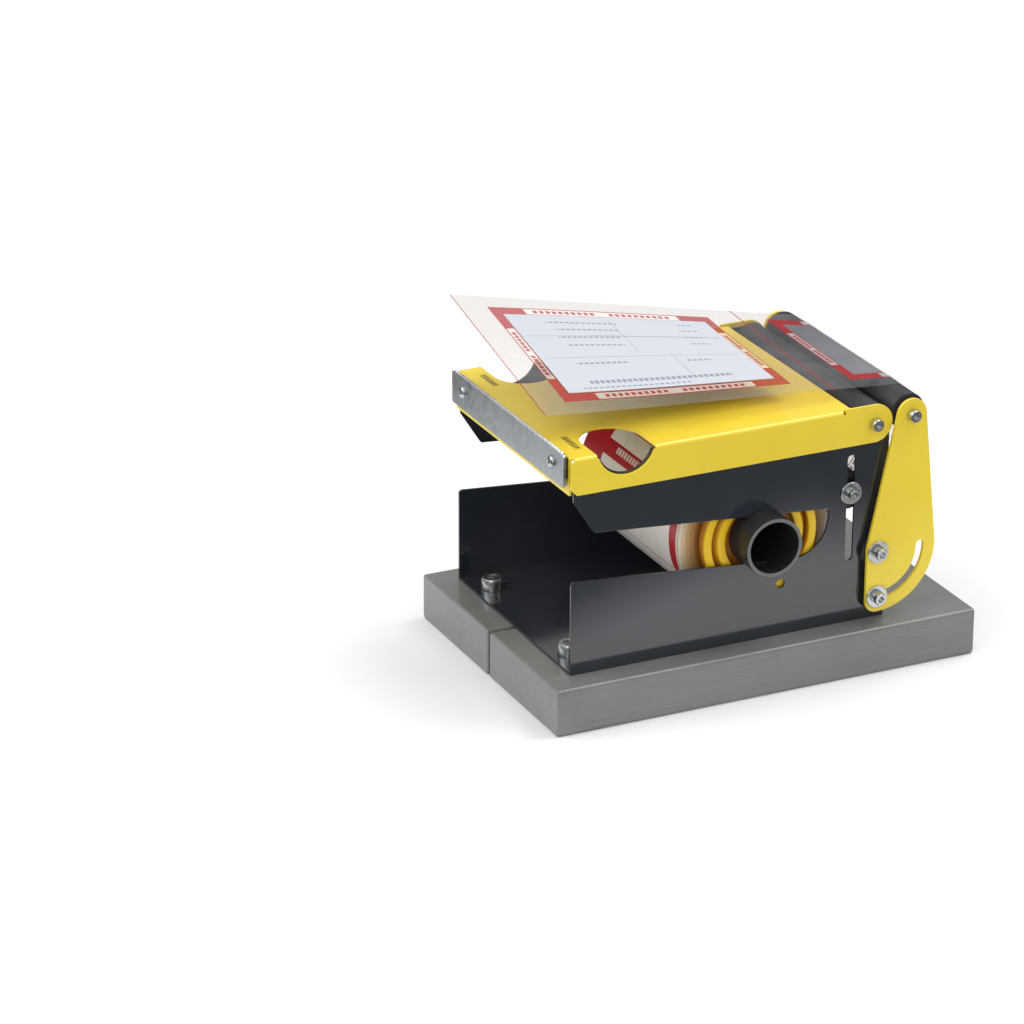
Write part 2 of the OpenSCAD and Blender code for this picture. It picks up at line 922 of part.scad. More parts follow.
// The film from the roll up to the rear roller, over it, and on to above the front roller
module film_web() {
    start = [roll_y, roll_z] + (roll_r + film_gap) * dir(feed_angle);
    out = film_t * dir(feed_angle);
    color("#D9D3C4") {
        translate([film_left, 0, 0])
            rotate([90, 0, 90])
                linear_extrude(film_w)
                    polygon(concat(
                        [start, start + out],
                        arc(rear_axis, roller_r + film_gap + film_t, feed_angle, 90),
                        arc(rear_axis, roller_r + film_gap, 90, feed_angle)
                    ));
        film_patch(film_left, film_right, film_split_y, rear_axis_y, 0, film_t);
    }
}

module film_tongue() {
    color("#E4DECB")
        film_patch(film_left, film_right, -film_front, film_split_y - face_gap, 0, film_t);
}

module document() {
    y0 = sheet_back - film_front;
    color("white")
        film_patch(film_shift - sheet_w / 2, film_shift + sheet_w / 2, y0, y0 + sheet_l,
            film_t + 0.2, film_t / 2);
}

base_plank(1);  // base_plank_right
base_plank(-1);  // base_plank_left
chassis();
chassis_screws();
table();
blade_strip();
tear_blade();
blade_screws();
blade_nuts();
front_roller();
front_roller_axle();
front_roller_screws();
rear_roller();
rear_roller_axle();
rear_roller_screws();
guide_roller();
guide_axle();
guide_screws();
guide_washers();
arm(1);  // arm_right
arm(-1);  // arm_left
pivot_spacers();
pivot_screws();
pivot_washers();
pivot_nuts();
lock_screws();
lock_washers();
lock_nuts();
tube_axle();
hub(1);  // hub_right
hub(-1);  // hub_left
cardboard_core();
film_roll();
film_web();
film_tongue();
document();
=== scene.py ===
# %% [markdown]
# # A bench dispenser for printed pouch film
#
# The object is a folded steel chassis on two grey planks, with a yellow table, a toothed tear blade, two
# swing arms, three rollers and a roll of printed film on a tube axle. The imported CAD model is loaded
# first as a fixed frame: it says where each piece is and which body it moves with. Everything made below
# is placed from it.

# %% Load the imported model
import math

import bpy
from mathutils import Matrix, Vector


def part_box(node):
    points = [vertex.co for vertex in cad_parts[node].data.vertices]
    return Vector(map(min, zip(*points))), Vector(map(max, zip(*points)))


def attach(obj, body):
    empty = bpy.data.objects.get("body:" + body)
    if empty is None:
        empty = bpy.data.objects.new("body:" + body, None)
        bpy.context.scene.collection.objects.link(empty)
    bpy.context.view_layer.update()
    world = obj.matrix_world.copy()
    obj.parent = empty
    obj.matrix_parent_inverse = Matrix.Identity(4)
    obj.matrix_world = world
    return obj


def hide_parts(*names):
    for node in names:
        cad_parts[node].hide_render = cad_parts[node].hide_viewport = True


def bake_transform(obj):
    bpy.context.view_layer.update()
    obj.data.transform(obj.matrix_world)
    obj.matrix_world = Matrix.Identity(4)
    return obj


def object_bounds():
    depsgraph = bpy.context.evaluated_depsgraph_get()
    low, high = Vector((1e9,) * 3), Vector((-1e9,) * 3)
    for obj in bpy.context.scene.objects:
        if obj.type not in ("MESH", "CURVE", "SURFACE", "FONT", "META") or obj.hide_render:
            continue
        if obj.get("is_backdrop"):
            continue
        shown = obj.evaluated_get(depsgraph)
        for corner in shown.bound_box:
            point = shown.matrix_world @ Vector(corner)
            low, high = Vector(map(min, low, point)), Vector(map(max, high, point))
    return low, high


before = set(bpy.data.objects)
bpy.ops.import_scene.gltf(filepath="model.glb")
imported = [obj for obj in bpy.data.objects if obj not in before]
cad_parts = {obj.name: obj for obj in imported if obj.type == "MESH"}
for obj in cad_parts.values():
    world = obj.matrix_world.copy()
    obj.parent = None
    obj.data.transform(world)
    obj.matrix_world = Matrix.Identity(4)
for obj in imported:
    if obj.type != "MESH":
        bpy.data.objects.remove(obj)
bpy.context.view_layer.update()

MM = 0.001

# %% [markdown]
# ## The camera
#
# A long lens from the operator's right front keeps the long edges almost parallel. The camera's three
# axes are worked out from a compass angle, a height angle and a very small roll, because that is how a
# person would describe the view.

# %% Camera
AZIMUTH, ELEVATION, ROLL = (math.radians(a) for a in (64.58, 22.74, 0.15))
CAMERA_PLACE = (2.7680, -1.47528, 1.41734)
FOCAL_LENGTH = 154.2
across = Vector((math.cos(AZIMUTH), math.sin(AZIMUTH), 0))
level = math.cos(ELEVATION)
towards = Vector((math.sin(AZIMUTH) * level, -math.cos(AZIMUTH) * level, math.sin(ELEVATION)))
upwards = towards.cross(across)
right = across * math.cos(ROLL) + upwards * math.sin(ROLL)
above = upwards * math.cos(ROLL) - across * math.sin(ROLL)

camera = bpy.data.objects.new("camera", bpy.data.cameras.new("camera"))
bpy.context.scene.collection.objects.link(camera)
turned_to_view = Matrix((right, above, towards)).transposed().to_4x4()
camera.matrix_world = Matrix.Translation(CAMERA_PLACE) @ turned_to_view
camera.data.sensor_width = 36
camera.data.lens = FOCAL_LENGTH
camera.data.clip_end = 50
bpy.context.scene.camera = camera
print("camera looks down by", round(math.degrees(ELEVATION), 1), "degrees")

# %% [markdown]
# ## Helpers for materials
#
# Colours are written as the sRGB hex values that a paint chart gives, and one function turns them into the
# linear values that light is computed in. One small function adds a shader node, sets its values and makes
# its links. A third starts a material with its name and the values that are the same all over.

# %% Colour and node helpers
def paint_chart(hex_colour):
    """A hex colour such as #E3C93F as linear red, green, blue and alpha."""
    parts = [int(hex_colour[i:i + 2], 16) / 255 for i in (1, 3, 5)]
    return (*((p / 12.92 if p <= 0.04045 else ((p + 0.055) / 1.055) ** 2.4) for p in parts), 1.0)


def add(tree, kind, inputs=None, **settings):
    """Adds a node; each input is a value or another node's output. Gives back the node's first output."""
    new = tree.nodes.new("ShaderNode" + kind)
    for name, value in settings.items():
        setattr(new, name, value)
    for name, value in (inputs or {}).items():
        if isinstance(value, bpy.types.NodeSocket):
            tree.links.new(value, new.inputs[name])
        else:
            new.inputs[name].default_value = value
    return new.outputs[0]


def finish_named(name, roughness, metallic=0.0, **sockets):
    """A new material: its node tree and its shader, with the values that are the same all over."""
    material = bpy.data.materials.new(name)
    material.use_nodes = True
    shader = material.node_tree.nodes["Principled BSDF"]
    shader.inputs["Roughness"].default_value = roughness
    shader.inputs["Metallic"].default_value = metallic
    for socket, value in sockets.items():
        shader.inputs[socket.replace("_", " ")].default_value = value
    return material, material.node_tree, shader


print("middle grey in linear light:", round(paint_chart("#808080")[0], 3))

# %% [markdown]
# ## The board it stands on
#
# The object stands on a plain white board. Glossy paint needs something dark to mirror, or it looks like
# chalk. So the board fades out a little way off, and sooner on the side that the right panel mirrors: the
# lower part of that panel mirrors white board, and the upper part what lies past it. A mix with a
# transparent shader makes the fade, because against a white sky it doesn't show from any side.

# %% Floor
BOARD_RADIUS = 0.62
BOARD_PLACE = (-0.12, -0.02, -0.0002)
EDGE_FADE = (0.44, 0.6)
SIDE_FADE = (0.37, 0.45)
SIDE_SLANT = (1, -0.4, 0)
bpy.ops.object.select_all(action="DESELECT")
bpy.ops.mesh.primitive_circle_add(vertices=96, radius=BOARD_RADIUS, fill_type="NGON", location=BOARD_PLACE)
floor = bpy.context.object
floor.name = "studio_floor"
# Gives an even, dull white that a shadow shows on.
white_board, tree, shader = finish_named("laminated_white_board", 0.7)
shader.inputs["Base Color"].default_value = (0.89, 0.89, 0.895, 1)
shader.inputs["Specular IOR Level"].default_value = 0.1
spot = add(tree, "TexCoord").node.outputs["Object"]
far_out = add(tree, "VectorMath", {0: spot}, operation="LENGTH").node.outputs["Value"]
past_edge = add(tree, "MapRange", {"Value": far_out, "From Min": EDGE_FADE[0], "From Max": EDGE_FADE[1]})
aside = add(tree, "VectorMath", {0: spot, 1: SIDE_SLANT}, operation="DOT_PRODUCT").node.outputs["Value"]
past_side = add(tree, "MapRange", {"Value": aside, "From Min": SIDE_FADE[0], "From Max": SIDE_FADE[1]})
gone = add(tree, "Math", {0: past_edge, 1: past_side}, operation="MAXIMUM")
board = add(tree, "MixShader", {0: gone, 1: shader.outputs[0], 2: add(tree, "BsdfTransparent")})
tree.links.new(board, tree.nodes["Material Output"].inputs["Surface"])
floor.data.materials.append(white_board)
floor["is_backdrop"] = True
print("white board", 2 * BOARD_RADIUS, "m across")

# %% [markdown]
# ## Lamps and sky
#
# Three square soft boxes light the object, as in a small studio. The one above and behind draws the
# bright line along each bend, the one in front lights the narrow end, and a weak one at the side lifts
# the shadow under the film. The white sky fills every shadow softly. Mirror rays see another sky, a dim
# room with a bright ceiling, so that dark glossy paint stays dark.

# %% Lamps and sky
OBJECT_MIDDLE = Vector((0, 0, 0.12))


def lamp(name, place, size, watts):
    """A square soft box that looks at the middle of the object."""
    light = bpy.data.objects.new(name, bpy.data.lights.new(name, "AREA"))
    bpy.context.scene.collection.objects.link(light)
    light.data.size, light.data.energy = size, watts
    light.location = place
    light.rotation_euler = (OBJECT_MIDDLE - Vector(place)).to_track_quat("-Z", "Y").to_euler()


lamp("ceiling_soft_box", (0.15, 0.75, 1.7), 0.9, 14)
lamp("front_soft_box", (-0.2, -1.75, 1.8), 1.9, 21)
lamp("side_fill", (1.9, -1.5, 1.0), 1.2, 5)
ROOM_WALL, ROOM_CEILING = 0.16, 0.9
SKY_FILL, SKY_SEEN = 0.82, 1.05
world = bpy.data.worlds.new("white_studio")
bpy.context.scene.world = world
world.use_nodes = True
sky = world.node_tree
height = add(sky, "SeparateXYZ", {0: add(sky, "TexCoord").node.outputs["Generated"]}).node.outputs[2]
ceiling = add(sky, "MapRange", {"Value": height, "From Min": 0.15, "From Max": 0.7,
                                "To Min": ROOM_WALL, "To Max": ROOM_CEILING})
mirrored = add(sky, "LightPath").node.outputs["Is Glossy Ray"]
seen = add(sky, "LightPath").node.outputs["Is Camera Ray"]
strength = add(sky, "Mix", {0: seen, 2: SKY_FILL, 3: SKY_SEEN}, data_type="FLOAT")
strength = add(sky, "Mix", {0: mirrored, 2: strength, 3: ceiling}, data_type="FLOAT")
sky.links.new(strength, sky.nodes["Background"].inputs["Strength"])
sky.nodes["Background"].inputs["Color"].default_value = (1, 1, 1, 1)
bpy.context.scene.view_settings.view_transform = "Standard"
print("lamps and sky made")

# %% [markdown]
# ## Helpers for modelling
#
# Blender's operators act on everything that is selected, so each step first selects one object alone.
# `pick` goes on into edit mode with only the faces, edges or corners selected that pass a test of their
# place.

# %% Selecting
def only(piece):
    """Selects one piece and makes it the active one."""
    bpy.ops.object.select_all(action="DESELECT")
    piece.select_set(True)
    bpy.context.view_layer.objects.active = piece


def pick(piece, kind, test):
    """Goes into edit mode with only those faces, edges or corners selected that pass the test."""
    only(piece)
    bpy.ops.object.mode_set(mode="EDIT")
    bpy.ops.mesh.select_mode(type=kind)
    bpy.ops.mesh.select_all(action="DESELECT")
    bpy.ops.object.mode_set(mode="OBJECT")
    parts = {"VERT": piece.data.vertices, "EDGE": piece.data.edges, "FACE": piece.data.polygons}[kind]
    for part in parts:
        part.select = test(part)
    bpy.ops.object.mode_set(mode="EDIT")


def apply(piece, kind, **settings):
    """Adds a modifier and applies it at once."""
    only(piece)
    modifier = piece.modifiers.new(kind.lower(), kind)
    for name, value in settings.items():
        setattr(modifier, name, value)
    bpy.ops.object.modifier_apply(modifier=modifier.name)


def smooth(piece, angle=32):
    """Shades faces smoothly where they meet at less than the angle."""
    only(piece)
    bpy.ops.object.shade_smooth_by_angle(angle=math.radians(angle))


def put(piece, place=(0, 0, 0), turn=(0, 0, 0)):
    """Turns a piece by angles in degrees, moves it, and writes both into its mesh."""
    piece.rotation_euler = [math.radians(a) for a in turn]
    piece.location = place
    only(piece)
    bpy.ops.object.transform_apply(location=True, rotation=True, scale=True)


def twin(piece, name):
    """A copy with its own mesh."""
    copy = bpy.data.objects.new(name, piece.data.copy())
    copy.data.name = name
    bpy.context.scene.collection.objects.link(copy)
    return copy


def stands_for(piece, nodes, body, material=None):
    """Gives a finished piece its material and body, and hides the CAD nodes that it replaces."""
    if material:
        piece.data.materials.clear()
        piece.data.materials.append(material)
    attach(piece, body)
    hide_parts(*nodes)
    print(piece.name, "on", body, len(piece.data.polygons), "faces")


print(len(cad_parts), "CAD nodes to work from")

# %% [markdown]
# ## Copies of the CAD sheets with broken edges
#
# The folded sheets have the right shape in the CAD model, but every edge there is perfectly sharp, and no
# real edge is. A sharp edge never catches the light. So each copy has its loose triangles merged, its
# flat areas made into whole faces again, and its edges bevelled by a few tenths of a millimetre. Smooth
# shading would bend the light on a large flat face towards its narrow bevels, so the shading is weighted
# by each face's area.

# %% Broken edges
def softened(node, name, width_mm, segments=2, angle=35):
    """A copy of a CAD node with merged corners and rounded edges."""
    piece = twin(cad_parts[node], name)
    only(piece)
    bpy.ops.mesh.customdata_custom_splitnormals_clear()
    bpy.ops.object.mode_set(mode="EDIT")
    bpy.ops.mesh.select_all(action="SELECT")
    bpy.ops.mesh.remove_doubles(threshold=0.01 * MM)
    bpy.ops.mesh.dissolve_limited(angle_limit=math.radians(0.5))
    bpy.ops.object.mode_set(mode="OBJECT")
    apply(piece, "BEVEL", width=width_mm * MM, segments=segments, limit_method="ANGLE",
          angle_limit=math.radians(angle), use_clamp_overlap=False)
    smooth(piece)
    apply(piece, "WEIGHTED_NORMAL", keep_sharp=True, weight=50)
    return piece


print("the CAD chassis has", len(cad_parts["chassis"].data.polygons), "triangles")

# %% [markdown]
# ## Turned pieces
#
# Rollers, hubs, washers and screws are all round. Each starts as a circle on the Z axis, and every step
# of its profile is one extrusion along the axis and one scaling, just as by hand. A profile that comes
# back to its start closes into a ring; one that doesn't keeps its filled ends and is solid.

# %% Turning
def turned(name, profile, sides=64):
    """A round piece about Z from steps of (radius, height) in millimetres."""
    ring = profile[0] == profile[-1]
    bpy.ops.object.select_all(action="DESELECT")
    radius, height = profile[0]
    bpy.ops.mesh.primitive_circle_add(vertices=sides, radius=radius * MM, location=(0, 0, height * MM),
                                      fill_type="NOTHING" if ring else "NGON")
    piece = bpy.context.object
    piece.name = piece.data.name = name
    bpy.ops.object.mode_set(mode="EDIT")
    bpy.ops.mesh.select_mode(type="EDGE" if ring else "FACE")
    bpy.ops.mesh.select_all(action="SELECT")
    for next_radius, next_height in profile[1:]:
        rise = (0, 0, (next_height - height) * MM)
        bpy.ops.mesh.extrude_region_move(TRANSFORM_OT_translate={"value": rise})
        grow = next_radius / radius
        bpy.ops.transform.resize(value=(grow, grow, 1), center_override=(0, 0, next_height * MM))
        radius, height = next_radius, next_height
    bpy.ops.mesh.select_all(action="SELECT")
    bpy.ops.mesh.remove_doubles(threshold=0.002 * MM)
    bpy.ops.mesh.normals_make_consistent(inside=False)
    bpy.ops.object.mode_set(mode="OBJECT")
    put(piece, piece.location)
    smooth(piece)
    return piece


low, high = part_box("front_roller")
print("the front roller in mm:", [round(v / MM, 1) for v in high - low])

# %% [markdown]
# ## The base planks
#
# The two planks are sawn from recycled plastic board: grey, with faint streaks along their length from
# extruding, and a soft round on each edge. The streaks are noise drawn out along Y to forty times its
# width. Two helpers are needed here for the first time: one makes noise at a real size, and one lets a
# pattern drive colour, roughness and relief together, as a streak on a real surface does.

# %% Pattern helpers
LOW_NOISE, HIGH_NOISE = 0.3, 0.7


def grain(tree, size_mm, detail=2.0, stretch=(1, 1, 1)):
    """Noise on object coordinates, with blobs about size_mm across, drawn out along an axis by stretch."""
    place = add(tree, "TexCoord").node.outputs["Object"]
    scaled = add(tree, "Mapping", {"Vector": place, "Scale": tuple(1 / s for s in stretch)})
    return add(tree, "TexNoise", {"Vector": scaled, "Scale": 1 / (size_mm * MM), "Detail": detail})


def wear(tree, shader, value, tones=None, rough=None, depth_mm=0, strength=1.0):
    """Lets one pattern drive colour, roughness and relief. The colour goes between two hex tones. Most noise
    stays between LOW_NOISE and HIGH_NOISE, so those two give the two values of the roughness."""
    if tones:
        low_tone, high_tone = (paint_chart(tone) for tone in tones)
        tone = add(tree, "Mix", {0: value, 6: low_tone, 7: high_tone}, data_type="RGBA")
        tree.links.new(tone.node.outputs[2], shader.inputs["Base Color"])
    if rough:
        matt = add(tree, "MapRange", {"Value": value, "From Min": LOW_NOISE, "From Max": HIGH_NOISE,
                                      "To Min": rough[0], "To Max": rough[1]})
        tree.links.new(matt, shader.inputs["Roughness"])
    if depth_mm:
        bump = add(tree, "Bump", {"Height": value, "Distance": depth_mm * MM, "Strength": strength})
        tree.links.new(bump, shader.inputs["Normal"])


print("most noise lies between", LOW_NOISE, "and", HIGH_NOISE)

# %% [markdown]
# ## Two sawn planks
#
# The streaks and some wider clouds are added up, and their sum drives the colour. The streaks alone drive
# the shine and the relief.

# %% Plank material and planks
# Gives a dull grey with dark and light streaks, brighter where they are smooth.
plank_plastic, tree, shader = finish_named("extruded_recycled_polythene", 0.42, IOR=1.5)
streaks = grain(tree, 1.4, 4, (1, 40, 1))
clouds = grain(tree, 45, 2)
tone = add(tree, "Math", {0: streaks, 1: clouds}, operation="ADD")
tone = add(tree, "MapRange", {"Value": tone, "From Min": 0.7, "From Max": 1.3})
wear(tree, shader, tone, ("#6F716E", "#7A7C79"))
wear(tree, shader, streaks, None, (0.15, 0.28), 0.015, 0.5)

PLANK_ROUND_MM = 1.6
for side in ("right", "left"):
    plank = softened("base_plank_" + side, "plank_" + side, PLANK_ROUND_MM, 3)
    stands_for(plank, ["base_plank_" + side], "chassis", plank_plastic)

# %% [markdown]
# ## Powder coat
#
# Chassis, table and arms are steel sheet with a baked powder coat. The powder melts into a thick glossy
# skin with a slight orange peel, whose waves are about two millimetres long and a few thousandths deep.
# The same function makes the dark grey and the yellow, which is what a coating shop does too.

# %% Powder coat materials
def powder_coat(name, dark, light, roughness):
    """A baked coat: its tone shifts over 60 mm, its gloss over 25 mm, and its orange peel is 2.2 mm long."""
    material, tree, shader = finish_named(name, roughness, IOR=1.52)
    clouds = grain(tree, 60, 1)
    drift = add(tree, "MapRange", {"Value": clouds, "From Min": LOW_NOISE, "From Max": HIGH_NOISE})
    wear(tree, shader, drift, (dark, light))
    wear(tree, shader, grain(tree, 25, 3), None, (roughness * 0.8, roughness * 1.3))
    wear(tree, shader, grain(tree, 2.2, 1), depth_mm=0.012, strength=0.5)
    return material, tree, shader


# Gives a near black with a blue cast that mirrors the room: light where it meets the board, dark above.
dark_coat, tree, shader = powder_coat("anthracite_powder_coat_on_steel", "#21262D", "#262B33", 0.11)
shader.inputs["Specular IOR Level"].default_value = 1.0
# Gives a full warm yellow with a soft gloss.
YELLOW = ("#E6CA38", "#ECD240")
arm_coat, tree, shader = powder_coat("yellow_powder_coat_on_steel", *YELLOW, 0.2)
print("coats made:", dark_coat.name, "and", arm_coat.name)

# %% [markdown]
# ## The table's own finish
#
# The table has the same yellow, and near its front edge one printed mark at each end. The marks here are
# plain rows of bars with no meaning. They are drawn where the object's own coordinates fall inside a
# rectangle, and a comparison node gives 1 inside it and 0 outside.

# %% Marked yellow coat
def place_on(tree, attribute=None):
    """The three coordinates of a point: the object's own, or those kept in an attribute."""
    if attribute:
        place = add(tree, "Attribute", attribute_name=attribute).node.outputs["Vector"]
    else:
        place = add(tree, "TexCoord").node.outputs["Object"]
    return add(tree, "SeparateXYZ", {0: place}).node.outputs


def inside(tree, *parts):
    """1 where all parts hold, else 0. A part is a mask, or a coordinate, its middle and half width in mm."""
    mask = None
    for part in parts:
        if isinstance(part, tuple):
            value, middle, half = part
            part = add(tree, "Math", {0: value, 1: middle * MM, 2: half * MM}, operation="COMPARE")
        mask = add(tree, "Math", {0: mask, 1: part}, operation="MULTIPLY") if mask else part
    return mask


BAR_STEP_MM = 2.6
# Gives the same yellow, with a dark mark at each front corner.
table_coat, tree, shader = powder_coat("yellow_powder_coat_with_marks", *YELLOW, 0.2)
spot = place_on(tree)
apart = add(tree, "Math", {0: spot[0]}, operation="ABSOLUTE")
beat = add(tree, "Math", {0: apart, 1: BAR_STEP_MM * MM}, operation="MODULO")
bars = inside(tree, (apart, 71, 13), (spot[1], -145.6, 2.6), (spot[2], 212.7, 0.6), (beat, 0.9, 0.75))
yellow = shader.inputs["Base Color"].links[0].from_socket
mark = add(tree, "Mix", {0: bars, 6: yellow, 7: paint_chart("#1B1A17")}, data_type="RGBA").node.outputs[2]
tree.links.new(mark, shader.inputs["Base Color"])
print("bars of the marks", BAR_STEP_MM, "mm apart")

# %% [markdown]
# ## Chassis, table and arms
#
# All four are softened copies of the CAD sheets. The coat rounds the cut edges by about a third of a
# millimetre, and those of the arms by a little more.

# %% Chassis, table and arms
chassis = softened("chassis", "chassis_sheet", 0.35)
stands_for(chassis, ["chassis"], "chassis", dark_coat)
table = softened("table", "table_sheet", 0.35)
stands_for(table, ["table"], "table", table_coat)
for side in ("right", "left"):
    arm = softened("arm_" + side, f"arm_{side}_plate", 0.45)
    stands_for(arm, ["arm_" + side], "arms", arm_coat)

# %% [markdown]
# ## Tear blade
#
# The blade is galvanised strip with punched teeth. Zinc from a hot bath freezes in crystals a few
# millimetres wide, the spangle, so a Voronoi pattern of that size shifts tone and roughness a little from
# crystal to crystal.

# %% Blade
SPANGLE_MM = 5
# Gives a pale grey metal in flakes of slightly different tone.
blade_zinc, tree, shader = finish_named("hot_dip_galvanised_steel", 0.36, 1.0)
place = add(tree, "TexCoord").node.outputs["Object"]
crystals = add(tree, "TexVoronoi", {"Vector": place, "Scale": 1 / (SPANGLE_MM * MM)})
crystals = add(tree, "RGBToBW", {0: crystals.node.outputs["Color"]})
wear(tree, shader, crystals, ("#9EA3A6", "#C2C6C8"))
dulled = add(tree, "MapRange", {"Value": crystals, "To Min": 0.27, "To Max": 0.45})
tree.links.new(dulled, shader.inputs["Roughness"])
wear(tree, shader, grain(tree, 1.5, 3), depth_mm=0.02, strength=0.4)
blade = softened("tear_blade", "toothed_blade", 0.18, 1)
stands_for(blade, ["tear_blade"], "table", blade_zinc)

# %% [markdown]
# ## The strip behind the blade
#
# A strip of cellular rubber fills the gap between blade and table. Only its upper edge shows, as a thin black
# line, and that black is also painted shade for the gap.

# %% Backing strip
# Gives a matt black line with fine open cells, which also stands for the shade in the gap as painted shade.
strip_rubber_and_gap_shade, tree, shader = finish_named("black_cellular_rubber_and_gap_shade", 0.7)
wear(tree, shader, grain(tree, 0.8, 3), ("#141414", "#232323"), None, 0.05)
strip = softened("blade_strip", "blade_backing", 0.4)
stands_for(strip, ["blade_strip"], "table", strip_rubber_and_gap_shade)

# %% [markdown]
# ## Zinc plate
#
# Screws, nuts and washers are zinc-plated. The plate is bright, and fingers and spanners wipe it a little
# dull.

# %% Zinc plate
# Gives a bright bluish metal, wiped a little dull in places.
zinc_plate, tree, shader = finish_named("bright_zinc_plated_steel", 0.22, 1.0)
wipes = grain(tree, 3, 4)
wear(tree, shader, wipes, ("#B4B8BB", "#D6D9DA"), (0.16, 0.32))
wear(tree, shader, grain(tree, 0.5, 2), depth_mm=0.01, strength=0.4)
print("plate made:", zinc_plate.name)

# %% [markdown]
# ## Cap screws
#
# Most screws are socket caps. One is turned, every second corner of its head is pushed in a little to
# make the knurls, and its socket is cut with a six-sided cutter. It is copied to every place. The CAD
# node says where: its box ends at the outer face of the head, and its corner nearest the middle is the
# end of the shank. Real heads stop at any angle, so each pair is turned by its own.

# %% Cap screws
KNURLS = 36
KNURL_DEPTH = 0.035
HEAD_PER_THREAD = 10 / 12
SOCKET_PER_THREAD = 0.48


def cut_socket(screw, radius, depth, middle):
    """Cuts a six-sided hole about Z, given in millimetres."""
    bpy.ops.object.select_all(action="DESELECT")
    bpy.ops.mesh.primitive_cylinder_add(vertices=6, radius=radius * MM, depth=depth * MM,
                                        location=(0, 0, middle * MM))
    cutter = bpy.context.object
    apply(screw, "BOOLEAN", object=cutter, operation="DIFFERENCE", solver="EXACT")
    bpy.data.objects.remove(cutter)


def cap_screw(name, thread, shank):
    """A socket cap screw about Z with its seat at height 0, from its thread and shank in millimetres."""
    head = thread * HEAD_PER_THREAD
    profile = [(thread * 0.42, -shank), (thread / 2, -shank + thread * 0.15), (thread / 2, 0), (head, 0),
               (head, thread * 0.12), (head, thread * 0.84), (head - thread * 0.1, thread)]
    screw = turned(name, profile, 2 * KNURLS)
    for corner in screw.data.vertices:
        x, y, z = corner.co / MM
        turn = round(math.atan2(y, x) / math.pi * KNURLS)
        if turn % 2 and math.hypot(x, y) > head * 0.99 and z > thread * 0.1:
            corner.co.x *= 1 - KNURL_DEPTH
            corner.co.y *= 1 - KNURL_DEPTH
    cut_socket(screw, thread * SOCKET_PER_THREAD, thread, thread)
    apply(screw, "BEVEL", width=0.12 * MM, segments=1, limit_method="ANGLE", angle_limit=math.radians(50))
    smooth(screw)
    screw.data.materials.append(zinc_plate)
    return screw


def screw_pair(node, body, thread, spin):
    """Two screws along X in place of a CAD node, one from each side."""
    low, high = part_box(node)
    seat = high.x / MM - thread
    inner = min(abs(v.co.x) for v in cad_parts[node].data.vertices) / MM
    first = cap_screw(node.replace("screws", "screw_right"), thread, seat - inner)
    put(first, turn=(0, 0, spin))
    second = twin(first, node.replace("screws", "screw_left"))
    for screw, side in ((first, 1), (second, -1)):
        put(screw, (side * seat * MM, (low.y + high.y) / 2, (low.z + high.z) / 2), (0, 90 * side, 0))
        stands_for(screw, [node], body)


for node, body, turn in (("front_roller_screws", "chassis", 10), ("rear_roller_screws", "arms", 34),
                         ("guide_screws", "guide", 20), ("pivot_screws", "chassis", 48),
                         ("lock_screws", "chassis", 5)):
    screw_pair(node, body, 6, turn)

HOLD_DOWN_THREAD = 10
low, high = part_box("chassis_screws")
seat, head = high.z - HOLD_DOWN_THREAD * MM, HOLD_DOWN_THREAD * HEAD_PER_THREAD * MM
model = cap_screw("hold_down_screw_1", HOLD_DOWN_THREAD, (seat - low.z) / MM)
for number, (x, y) in enumerate(((high.x, low.y), (low.x, low.y), (high.x, high.y), (low.x, high.y)), 1):
    screw = model if number == 4 else twin(model, f"hold_down_screw_{number + 1}")
    put(screw, (x - math.copysign(head, x), y - math.copysign(head, y), seat), (0, 0, 17 * number))
    stands_for(screw, ["chassis_screws"], "chassis")

# %% [markdown]
# ## Button screws of the blade
#
# The blade is held by two low screws with domed heads, so that nothing catches on the film. The dome is
# four short steps of the profile.

# %% Button screws
BUTTON_R, BUTTON_H = 4.75, 2.5
low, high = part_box("blade_screws")
dome = [(BUTTON_R, 0), (4.7, 0.7), (4.2, 1.6), (3.3, 2.2), (2.4, BUTTON_H)]
button = turned("blade_screw_right", [(2.3, -11), (2.5, -10.5), (2.5, 0)] + dome, 48)
cut_socket(button, 1.75, 4, 3)
smooth(button)
button.data.materials.append(zinc_plate)
other_button = twin(button, "blade_screw_left")
for screw, x in ((button, high.x - BUTTON_R * MM), (other_button, low.x + BUTTON_R * MM)):
    put(screw, (x, low.y + BUTTON_H * MM, (low.z + high.z) / 2), (90, 0, 0))
    stands_for(screw, ["blade_screws"], "table")

# %% [markdown]
# ## Washers
#
# A washer is punched from strip, and its outer edges are broken by a few tenths of a millimetre. Each is
# turned as a closed ring and goes under its screw's head.

# %% Washers
WASHER_T, WASHER_HOLE_R = 1.6, 3.1


def washer_pair(node, body):
    """Two washers on X in place of a CAD node, one on each side."""
    low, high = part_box(node)
    outer, thick, hole = (high.y - low.y) / 2 / MM, WASHER_T, WASHER_HOLE_R
    profile = [(hole, 0), (outer - 0.3, 0), (outer, 0.3), (outer, thick - 0.4), (outer - 0.4, thick),
               (hole + 0.3, thick), (hole, thick - 0.3), (hole, 0)]
    first = turned(node.replace("washers", "washer_right"), profile, 64)
    first.data.materials.append(zinc_plate)
    second = twin(first, node.replace("washers", "washer_left"))
    for washer, side in ((first, 1), (second, -1)):
        place = (side * (high.x - thick * MM), (low.y + high.y) / 2, (low.z + high.z) / 2)
        put(washer, place, (0, 90 * side, 0))
        stands_for(washer, [node], body)


for node, body in (("guide_washers", "guide"), ("pivot_washers", "chassis"), ("lock_washers", "chassis")):
    washer_pair(node, body)

